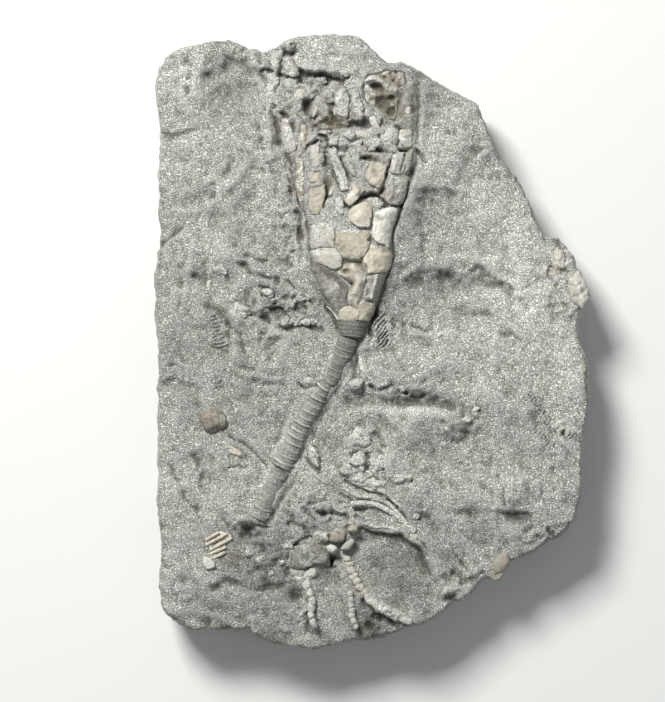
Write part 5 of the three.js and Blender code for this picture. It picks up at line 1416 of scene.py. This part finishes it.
class FOSSIL_OT_stem(bpy.types.Operator):
    """Make the ringed stem and the collar that joins it to the cup"""
    bl_idname = "fossil.stem"
    bl_label = "Stem"

    def execute(self, context):
        s = context.scene.fossil_stem
        pitch, depth = s.columnal / MM, s.ring_depth / MM
        for k, (node, (tone, share, radii, line)) in enumerate(STEM_PIECES.items()):
            length = math.hypot(*np.subtract(line[-1], line[0]))
            path = smooth_path([(x, y, STEM_LEVEL) for x, y in line], int(length / 0.11))
            stops = np.linspace(0, length, len(radii))

            def crest(run, angle, k=k, share=share):
                """Bowed rings a columnal or so apart, of uneven strength: a crest, then a thin groove."""
                jog = (run - 0.6 * np.sin(angle) + 0.55 * noise(run, 3, 0, 3.1, 600 + k)
                       + 0.14 * noise(run, 2 * np.cos(angle), 2 * np.sin(angle), 3, 610 + k))
                phase = (jog / pitch) % 1
                strength = share * np.clip(0.6 + 1.6 * noise(run, 2 * angle, 5, 2.8, 620 + k), 0.05, 1.7)
                return strength * (np.exp(-((phase - 0.5) / 0.14) ** 2) - 0.25
                                   - 0.8 * np.exp(-((phase - 0.76) / 0.09) ** 2))

            def ringed(run, angle, k=k, stops=stops, radii=radii, crest=crest):
                """The stem's own radius with its rings, worn unevenly."""
                wear = 0.20 * rough(run, 2.6 * np.cos(angle), 2.6 * np.sin(angle), 3.6, 4, 630 + k)
                return np.interp(run, stops, radii) + depth * crest(run, angle) + wear

            points, faces, marks = tube(path, ringed, 611 + k, around=STEM_AROUND, flatten=0.78, mark=crest)
            # Painted light and shade: each length of the stem is made lighter on the side towards the key
            # lamp and darker on the far side, by 0.35 times the cosine round it.
            across = np.cos(np.linspace(0, 2 * math.pi, STEM_AROUND, endpoint=False))
            across = np.append(np.tile(across, len(marks) // STEM_AROUND), (0, 0))
            # Painted highlight and painted shade: the ring marks, used as the cavity value, lighten the
            # crests and darken the thin grooves.
            make_piece(node + "_stone", "stem", [(points, faces)],
                       {"tone": tone + 0.35 * across, "cavity": np.clip(marks, -1, 1)}, node)
        low, high = node_box("proximal_collar")
        middle = (low + high) / 2
        path = np.linspace((middle[0] + 0.15, high[1] - 0.05, FACE - 0.3),
                           (middle[0] - 0.2, low[1] + 0.15, FACE - 0.3), 34)

        def flared(run, angle):
            """A ring that narrows downwards, with faint rings on it."""
            faint = 0.05 * np.cos(run * 2 * math.pi / 0.95)
            wear = 0.12 * rough(run, 3 * np.cos(angle), 3 * np.sin(angle), 2.4, 3, 633)
            return 3.75 - 0.2 * run + faint + wear

        shape = tube(path, flared, 631, around=64, lumpiness=0.03)
        make_piece("proximal_collar_stone", "stem", [shape], {"tone": COLLAR_TONE}, "proximal_collar")
        return {"FINISHED"}


# Bars: radius, distance from joint to joint, tone, share of rock left on it, middle line.
BARS = {
    "inner_arm": (0.9, 1.3, 0.2, 0.5, [(-9.6, 46), (-8.6, 42.5), (-7.4, 39.3), (-6.8, 36.5)]),
    "far_left_arm": (1.3, 1.9, 0.3, 0.5, [(-23.2, 63.8), (-24, 61), (-24.6, 58.4), (-24.8, 56)]),
    "lower_stub": (1.15, 2.6, 0.3, 0.4, [(-13.6, -54.7), (-15.8, -55.7), (-18.2, -56.8)]),
    "arched_arm": (0.62, 1.4, -0.15, 0.95, [
        (-5.2, -38.6), (-2, -38.5), (1.2, -39), (4, -40.3), (6.4, -41.9), (8.4, -43.8), (10.2, -45.3)]),
}
# Strings of beads: finish, tone, and for each bead its middle, half widths and turn.
BEADS = {
    "lower_arm_left": ("pale", -0.35, [
        (-15.6, -58.2, 1, 1.2, 0.8, 0), (-15, -60, 0.8, 1.1, 0.8, 10), (-14.6, -61.7, 0.8, 1.1, 0.8, 0),
        (-14.7, -63.5, 0.8, 1.1, 0.8, 0), (-14.8, -65.2, 0.8, 1, 0.8, 10), (-14.2, -67, 0.8, 1.2, 0.8, 25)]),
    "lower_arm_middle": ("pale", -0.45, [
        (-5.4, -60.2, 0.75, 0.8, 0.8, 0), (-5.2, -61.5, 0.75, 0.8, 0.8, 5), (-5.1, -62.8, 0.75, 0.8, 0.8, 0),
        (-4.9, -64.1, 0.8, 0.75, 0.8, 5), (-4.8, -65.4, 0.75, 0.8, 0.8, 10),
        (-4.5, -66.7, 0.7, 0.8, 0.8, 15), (-4.1, -68, 0.65, 0.75, 0.8, 15)]),
    "lower_arm_right": ("cream", -0.3, [
        (-5.9, -51.8, 1, 0.9, 1.2, 0), (-5.5, -53.2, 1.05, 0.9, 1.2, 0), (-5, -54.6, 1, 0.9, 1, 12),
        (-4.5, -56, 0.95, 0.9, 0.9, 22), (-3.8, -57.3, 0.9, 0.9, 0.9, 30), (-3, -58.6, 0.9, 0.9, 0.9, 38),
        (-2, -59.8, 0.9, 0.95, 0.85, 45), (-0.9, -61, 0.9, 0.95, 0.85, 50), (0.3, -62, 0.85, 0.95, 0.8, 55),
        (1.6, -63, 0.85, 1, 0.8, 58)]),
}


def level_under(node, x, y):
    """The middle level of a CAD piece near each spot: the mean height of its vertices, the nearest first."""
    points, _ = node_vertices(node)
    gap = np.hypot(points[:, 0] - np.reshape(x, (-1, 1)), points[:, 1] - np.reshape(y, (-1, 1)))
    weight = np.exp(-(gap / 0.9) ** 2) + 1e-9
    return (weight * points[:, 2]).sum(axis=1) / weight.sum(axis=1)


class FOSSIL_OT_limbs(bpy.types.Operator):
    """Make the slender arms: bars and strings of beads"""
    bl_idname = "fossil.limbs"
    bl_label = "Slender arms"

    def execute(self, context):
        for k, (node, (radius, pitch, tone, cover, line)) in enumerate(BARS.items()):
            level = level_under(node, *np.transpose(line))
            path = smooth_path(np.column_stack([line, level]), len(line) * 22)

            def jointed(run, angle, radius=radius, pitch=pitch):
                """A bar pinched in at every joint."""
                phase = np.abs((run / pitch) % 1 - 0.5) * 2
                return radius * (1 - 0.16 * phase ** 6)

            shape = tube(path, jointed, 701 + k, around=32, lumpiness=0.4)
            make_piece(node + "_stone", "grey", [shape], {"tone": tone, "cover": cover}, node)
        for k, (node, (slot, tone, beads)) in enumerate(BEADS.items()):
            parts = []
            for n, (x, y, wide, long, high, turn) in enumerate(beads):
                middle = (x, y, level_under(node, x, y)[0] - 0.12)
                halves = (wide * 1.12, long * 1.22, high)
                parts.append(ball(middle, halves, turn, 720 + 20 * k + n, 0.3, around=28, rings=18))
            make_piece(node + "_stone", slot, parts, {"tone": tone, "cover": 0.45}, node)
        return {"FINISHED"}


WHORLS = 2.2           # turns of the coiled shell
# Ribs of the ribbed shell, from end to end.
RIBS = [
    ((-39.9, -47.2), (-36.9, -45.4)), ((-40, -48.5), (-34.9, -45.7)), ((-39, -49.6), (-33.8, -46.8)),
    ((-38.9, -50.6), (-35.2, -48.9)), ((-38.2, -51.6), (-35.4, -50.2)),
]


# Small stones: middle, half widths, turn, tone, and the finish where it isn't grey.
STONES = [
    (0.8, 33.4, 1.6, 1.1, 0, 0.2), (-8, 32.8, 0.9, 1.7, 20, 0, "pale"), (-19.2, 61.6, 1.6, 1.8, 10, 0.5),
    (-16.7, 63, 1.3, 0.9, -20, 0.1), (-12.6, 62.6, 1.3, 0.9, 10, 0.2), (-14.5, 59.4, 1, 0.8, 30, 0),
    (-16.6, 59.8, 0.8, 1.1, 0, 0.3), (-13.7, 55.6, 0.5, 1.7, -20, 0.2, "pale"),
    (-11.3, 50.5, 1.1, 0.5, 10, 0.4, "pale"), (-9.3, 48, 1, 0.9, 0, 0.1, "pale"),
    (-3.8, 47.8, 1.5, 1.1, 0, 0.6), (0.4, 47.5, 1.6, 1.4, 0, 0.5), (-5.4, 49.8, 1.2, 1, 10, 0.5),
    (-23.4, 62.6, 1.5, 2, 5, 0.4), (-25.3, 59.2, 1.2, 1.8, -10, 0.3), (-22.8, 58.6, 1.1, 1.6, 10, 0.4),
    (-20.3, 71.3, 1.5, 1.2, 0, 0.2), (-23, 67.8, 1.2, 2.3, 0, 0.4), (4.4, 50.6, 1, 0.7, 20, 0.3, "pale"),
    (3.6, 48.8, 1.7, 1.6, 0, 0.5), (-9.8, 36.4, 0.4, 1.1, -20, 0.2, "pale"),
    (4.7, 39.7, 0.5, 0.4, 0, 0.3, "pale"), (-6.5, 64.6, 1.1, 0.8, 10, 0.1, "pale"),
    (-14.6, 46.6, 1.1, 1.3, 0, 0.3), (-12.4, 53.6, 1.2, 0.7, 30, 0.1), (-8.2, 55.6, 1.4, 1, -20, 0.3),
    (-4.4, 45.2, 1.1, 1.4, 25, 0.2), (-1.4, 42, 1.3, 1, -30, 0.4), (2, 41.5, 1.1, 1.5, 0, 0.3),
    (-4.6, 41, 0.9, 1.5, 20, 0.1), (-8.8, 44.6, 0.8, 1.6, 15, 0.4), (-12.4, 44, 0.7, 1.5, 5, 0.1),
    (-4.5, -45.4, 1, 0.7, 10, -0.4, "cream"), (-3, -45, 1, 0.8, -10, -0.3, "cream"),
    (-3.2, -46.2, 0.9, 0.7, 0, -0.5, "pale"), (-4.6, -46.4, 0.8, 0.6, 0, -0.4, "pale"),
    (-17.6, -54.6, 1.7, 2.7, -40, -0.9, "pale"), (-15.2, -50.8, 1.8, 3.6, -28, -0.9, "pale"),
    (-12.3, -50.2, 1.6, 2.9, 22, -0.9, "pale"), (-18.4, -51.2, 1.8, 2.2, -30, -1, "pale"),
    (-12.2, -46.4, 1.7, 1.4, 0, 0.1), (-9, -46, 1.9, 1.5, 10, -0.5, "cream"),
    (-10.1, -49.1, 1.3, 1.2, 0, -0.3, "pale"), (-11.7, -49.3, 1, 1, 0, -0.4, "pale"),
    (-7.7, -52.3, 1, 2.1, -25, -0.5, "pale"), (-6.7, -55.5, 0.8, 0.9, 0, -0.4, "pale"),
    (-6.3, -59.2, 0.5, 1.2, 10, -0.6, "pale"), (-6.4, -61.6, 0.5, 1.2, 0, -0.6, "pale"),
    (10.2, -46.6, 1.3, 0.8, -10, 0.1, "cream"), (10.4, -41.6, 0.8, 0.7, 0, 0.3),
    (-39.2, 14, 0.4, 1.2, 0, 0.3, "pale"), (41.6, 17.8, 0.7, 0.6, 0, 0.3, "pale"),
    (44.7, 19.8, 1.7, 2, 25, 0, "cream"), (43.4, 16.8, 1.4, 1, -20, -0.3, "cream"),
    (24.7, -16, 0.8, 0.4, 20, 0.3, "pale"), (22.6, -18.5, 0.9, 0.5, -20, 0.3, "pale"),
    (29.5, 39.4, 0.4, 0.8, 10, 0.2, "pale"), (18, -59.2, 0.9, 0.5, 20, 0, "cream"),
    (-4, -9.9, 1.5, 1.1, 30, -0.2, "pale"), (-15.2, -9, 0.9, 0.7, 0, 0.5), (-2.4, -5.6, 0.7, 2.2, 5, 0.6),
    (-3, -22.6, 2, 1.7, 0, 0.4), (-3.2, -28, 1.3, 2, 10, 0.4), (0.9, -29, 1.7, 2.1, 0, 0.3),
    (-3, -32.4, 1.9, 1.2, 10, 0.4), (0.6, -33.8, 2, 1.1, -20, 0.5), (2.6, -31, 1.2, 0.7, 0, 0.4),
    (-6.2, -30.5, 1.3, 1.5, 20, 0.2), (-0.5, -25, 1.2, 1.1, 0, 0.2), (-21, 5, 0.9, 0.7, 0, 0.2),
    (-18.2, 4.8, 0.9, 0.6, 0, 0.3), (-16.1, 4.9, 1, 0.7, 0, 0.4), (-14, 5.4, 0.8, 0.7, 0, 0.1),
    (-25, 12, 1.4, 0.9, 0, 0.1), (-32, 7.6, 2, 1.7, 0, 0.3), (-36.5, 17.4, 1.4, 1.1, 0, 0.3),
    (7, -10.8, 1.1, 1, 0, 0.2), (17, 2, 1.4, 0.9, 0, 0.5), (7, -32.5, 2.1, 1.1, 0, 0.2),
    (-27, -52, 1.2, 0.9, 30, 0), (-29.6, -50.4, 1, 0.8, 0, 0.2), (-24.6, -55.4, 1.3, 0.8, 10, 0.1),
    (-22, -52.6, 0.9, 0.8, 0, 0.2), (-20.5, -48.8, 1.2, 0.7, -20, 0.2),
]
# Thin threads and ridges: finish, radius, tone, share of rock left on it, then the line's points.
THREADS = [
    ("pale", 0.34, -0.1, 0.3, -15.6, -29.8, -12.8, -32.5, -10.8, -34),
    ("pale", 0.24, 0.2, 0.1, -10.9, 8.8, -9.8, 7.8, -9, 6.8, -8.2, 5.6),
    ("grey", 1.25, 0.2, 0.85, -1.6, -61, 2, -63.4, 5.4, -65.2, 9.4, -67),
    ("pale", 0.28, 0, 0.3, -9.4, -38.4, -8.8, -39.8, -7, -40.7),
    ("shell", 0.42, 0.3, 0.2, -34.8, -24.8, -33, -25.6, -31.4, -27.3),
    ("grey", 0.5, 0.3, 0.5, -10, 46.2, -8.4, 43.6, -7, 40.6, -5.8, 37.4),
    ("grey", 0.45, 0.2, 0.9, -7, -34.8, -3.6, -36.8, 0, -37.2, 3.6, -38.6, 6.6, -41.2, 8.6, -43.6),
    ("grey", 0.42, 0.2, 0.9, -5, -33.4, -1, -35, 2.6, -35.6, 5, -37.6, 7, -39.6),
    ("grey", 0.42, 0, 0.9, -2.4, -43.2, 0.6, -44.2, 3.4, -44.2, 6.4, -45),
]
SHELL_BLOCK = ((-40.4, -51.2), (-38.8, -51.7), (-37.9, -52.6), (-37.7, -53.8), (-39.8, -54.1), (-40.6, -52.9))


class FOSSIL_OT_small_stones(bpy.types.Operator):
    """Make the small ossicles, chips and threads that lie in the rock"""
    bl_idname = "fossil.small_stones"
    bl_label = "Small stones"

    def execute(self, context):
        outline, covers = rock_facts()
        spots = np.array([row[:2] for row in STONES], float)
        levels = rock_height(*spots.T, outline, covers)
        shapes = {}
        for k, ((x, y, wide, long, turn, tone, *slot), level) in enumerate(zip(STONES, levels)):
            slot = slot[0] if slot else "grey"
            halves = (wide * 1.15, long * 1.15, 0.3 + 0.45 * min(wide, long))
            cover = 0.93 if slot == "grey" else 0.45
            in_crown = 0.35 if y > 40 else 0.0
            shape = ball((x, y, level - 0.3), halves, turn, 1001 + k, 0.5, around=32, rings=20)
            shapes.setdefault(slot, []).append((shape, tone - 0.75 * cover - in_crown, cover))
        for k, (slot, radius, tone, cover, *line) in enumerate(THREADS):
            line = pairs(line)
            level = rock_height(*line.T, outline, covers)
            path = smooth_path(np.column_stack([line, level + 0.2 * radius]), 60)

            def slender(run, angle, radius=radius):
                """A thread that thins towards both ends."""
                return radius * (0.45 + 0.55 * np.sin(math.pi * run / run.max()) ** 0.5)

            shape = tube(path, slender, 1201 + k, around=20, lumpiness=0.55)
            shapes.setdefault(slot, []).append((shape, tone - 0.6 * cover, cover))
        level = rock_height(*np.array([[-39.2], [-52.8]]), outline, covers)[0]
        block = plate(SHELL_BLOCK, lambda x, y: level + 0.7 + 0 * x, level - 1.5, 1301)[:2]
        shapes["pale"].append((block, 0.0, 0.3))
        for slot, made in shapes.items():
            parts, tones, covered = zip(*made)
            sizes = [len(points) for points, _ in parts]
            make_piece("small_stones_" + slot, slot, parts,
                       {"tone": np.repeat(tones, sizes), "cover": np.repeat(covered, sizes)})
        return {"FINISHED"}


class FOSSIL_OT_shells(bpy.types.Operator):
    """Make the ribbed shell and the coiled shell"""
    bl_idname = "fossil.shells"
    bl_label = "Shells"

    def execute(self, context):
        low, high = node_box("ribbed_shell")
        top = high[2]
        parts = []
        for k, (a, b) in enumerate(RIBS):
            path = smooth_path([(*a, top - 0.55), (*np.add(a, b) / 2, top - 0.35), (*b, top - 0.6)], 40)
            parts.append(tube(path, lambda run, angle: 0.42 + 0.05 * np.cos(run * 3) + 0 * angle, 801 + k,
                              around=24, lumpiness=0.12))
        parts.append(plate(underside("ribbed_shell"), lambda x, y: top - 1.0 + 0 * x, low[2], 811,
                           around=100, rows=16)[:2])
        make_piece("ribbed_shell_stone", "shell", parts, {"tone": 0.0}, "ribbed_shell")
        turns = np.linspace(0, WHORLS * 2 * math.pi, 150)
        reach = 1.45 * (1 - turns / (2.6 * 2 * math.pi))
        level = node_box("coiled_shell")[0][2] + 1.35
        path = np.column_stack([29.6 + reach * np.cos(-turns + 2.2), -55.5 + reach * np.sin(-turns + 2.2),
                                level + 0.25 * turns / turns[-1]])
        total = lengths(path)[-1]
        whorl = tube(path, lambda run, angle: 0.68 * (1 - 0.6 * run / total) + 0 * angle, 821, around=24,
                     lumpiness=0.06)
        body = ball((31, -53, level + 0.1), (1.9, 2.8, 1.4), -25, 823, 0.15)
        make_piece("coiled_shell_stone", "cream", [whorl, body], {"tone": -0.95}, "coiled_shell")
        return {"FINISHED"}


# The stage, in metres: half width of the floor, how far it lies under the slab, light of the surroundings.
FLOOR_REACH = 1.2
FLOOR_DROP = 0.00005
SKY_COLOUR, SKY_STRENGTH = (0.93, 0.96, 1.0, 1), 0.26
VIEW_CENTRE = np.array([-9.6, -1.92, FACE]) * MM
SENSOR = 36.0
# Lamps: name, direction from the view's centre, distance, width, power, colour.
LAMPS = (
    ("key", (-0.36, 0.58, 0.73), 0.9, 0.28, 12.0, (1.0, 0.985, 0.96)),
    ("fill", (0.5, -0.5, 0.7), 1.0, 0.8, 0.8, (0.96, 0.98, 1.0)),
)


def place_object(context, name, data, location):
    """An object for the stage at a place."""
    made = bpy.data.objects.new(name, data)
    made.location = location
    context.scene.collection.objects.link(made)
    return made


class FOSSIL_OT_stage(bpy.types.Operator):
    """Make the plain floor, the lights and the camera over the split face"""
    bl_idname = "fossil.stage"
    bl_label = "Stage"

    def execute(self, context):
        s = context.scene.fossil_stage
        mesh = bpy.data.meshes.new("floor")
        corners = [(FLOOR_REACH * x, FLOOR_REACH * y, 0) for x, y in ((-1, -1), (1, -1), (1, 1), (-1, 1))]
        mesh.from_pydata(corners, [], [(0, 1, 2, 3)])
        material = bpy.data.materials.new("floor_paint")
        material.use_nodes = True
        shader = material.node_tree.nodes["Principled BSDF"]
        shader.inputs["Base Color"].default_value = (*s.floor_colour, 1)
        shader.inputs["Roughness"].default_value = 0.9
        mesh.materials.append(material)
        floor = place_object(context, "floor", mesh, (0, 0, -FLOOR_DROP))
        world = bpy.data.worlds.new("studio")
        world.use_nodes = True
        sky = world.node_tree.nodes["Background"]
        sky.inputs["Color"].default_value = SKY_COLOUR
        sky.inputs["Strength"].default_value = SKY_STRENGTH
        context.scene.world = world
        for name, direction, distance, size, power, colour in LAMPS:
            light = bpy.data.lights.new(name, "AREA")
            light.size = size
            light.energy = power
            light.color = colour
            way = np.array(direction) / np.linalg.norm(direction)
            lamp = place_object(context, name, light, VIEW_CENTRE + way * distance)
            lamp.rotation_euler = Vector(way).to_track_quat("Z", "Y").to_euler()
        data = bpy.data.cameras.new("camera")
        data.sensor_width = SENSOR
        data.lens = SENSOR * s.camera_height / s.view_height
        data.clip_end = 10
        camera = place_object(context, "camera", data, VIEW_CENTRE + np.array([0, 0, s.camera_height]))
        context.scene.camera = camera
        context.scene.view_settings.view_transform = "Standard"
        return {"FINISHED"}


class FOSSIL_PT_panel(bpy.types.Panel):
    """Lists the pieces of the fossil and the sizes that can be changed"""
    bl_label = "Crinoid fossil"
    bl_idname = "FOSSIL_PT_panel"
    bl_space_type = "VIEW_3D"
    bl_region_type = "UI"
    bl_category = "Fossil"

    def draw(self, context):
        for operator in OPERATORS:
            self.layout.operator(operator.bl_idname)
        for name, group in SETTINGS.items():
            for setting in group.__annotations__:
                self.layout.prop(getattr(context.scene, name), setting)


OPERATORS = (FOSSIL_OT_stage, FOSSIL_OT_slab, FOSSIL_OT_patches, FOSSIL_OT_cup, FOSSIL_OT_arms,
             FOSSIL_OT_face_plates, FOSSIL_OT_lumps, FOSSIL_OT_stem, FOSSIL_OT_limbs, FOSSIL_OT_small_stones,
             FOSSIL_OT_shells)
SETTINGS = {"fossil_slab": SlabSettings, "fossil_plates": PlateSettings, "fossil_stem": StemSettings,
            "fossil_stage": StageSettings}


def register():
    """Makes the classes known and gives every scene the settings."""
    for cls in (*SETTINGS.values(), *OPERATORS, FOSSIL_PT_panel):
        bpy.utils.register_class(cls)
    for name, group in SETTINGS.items():
        setattr(bpy.types.Scene, name, bpy.props.PointerProperty(type=group))


def unregister():
    """Takes back what register did."""
    for name in SETTINGS:
        delattr(bpy.types.Scene, name)
    for cls in reversed((*SETTINGS.values(), *OPERATORS, FOSSIL_PT_panel)):
        bpy.utils.unregister_class(cls)


def main():
    """Makes every piece and the stage."""
    register()
    for operator in OPERATORS:
        group, name = operator.bl_idname.split(".")
        getattr(getattr(bpy.ops, group), name)()


if __name__ == "__main__":
    main()
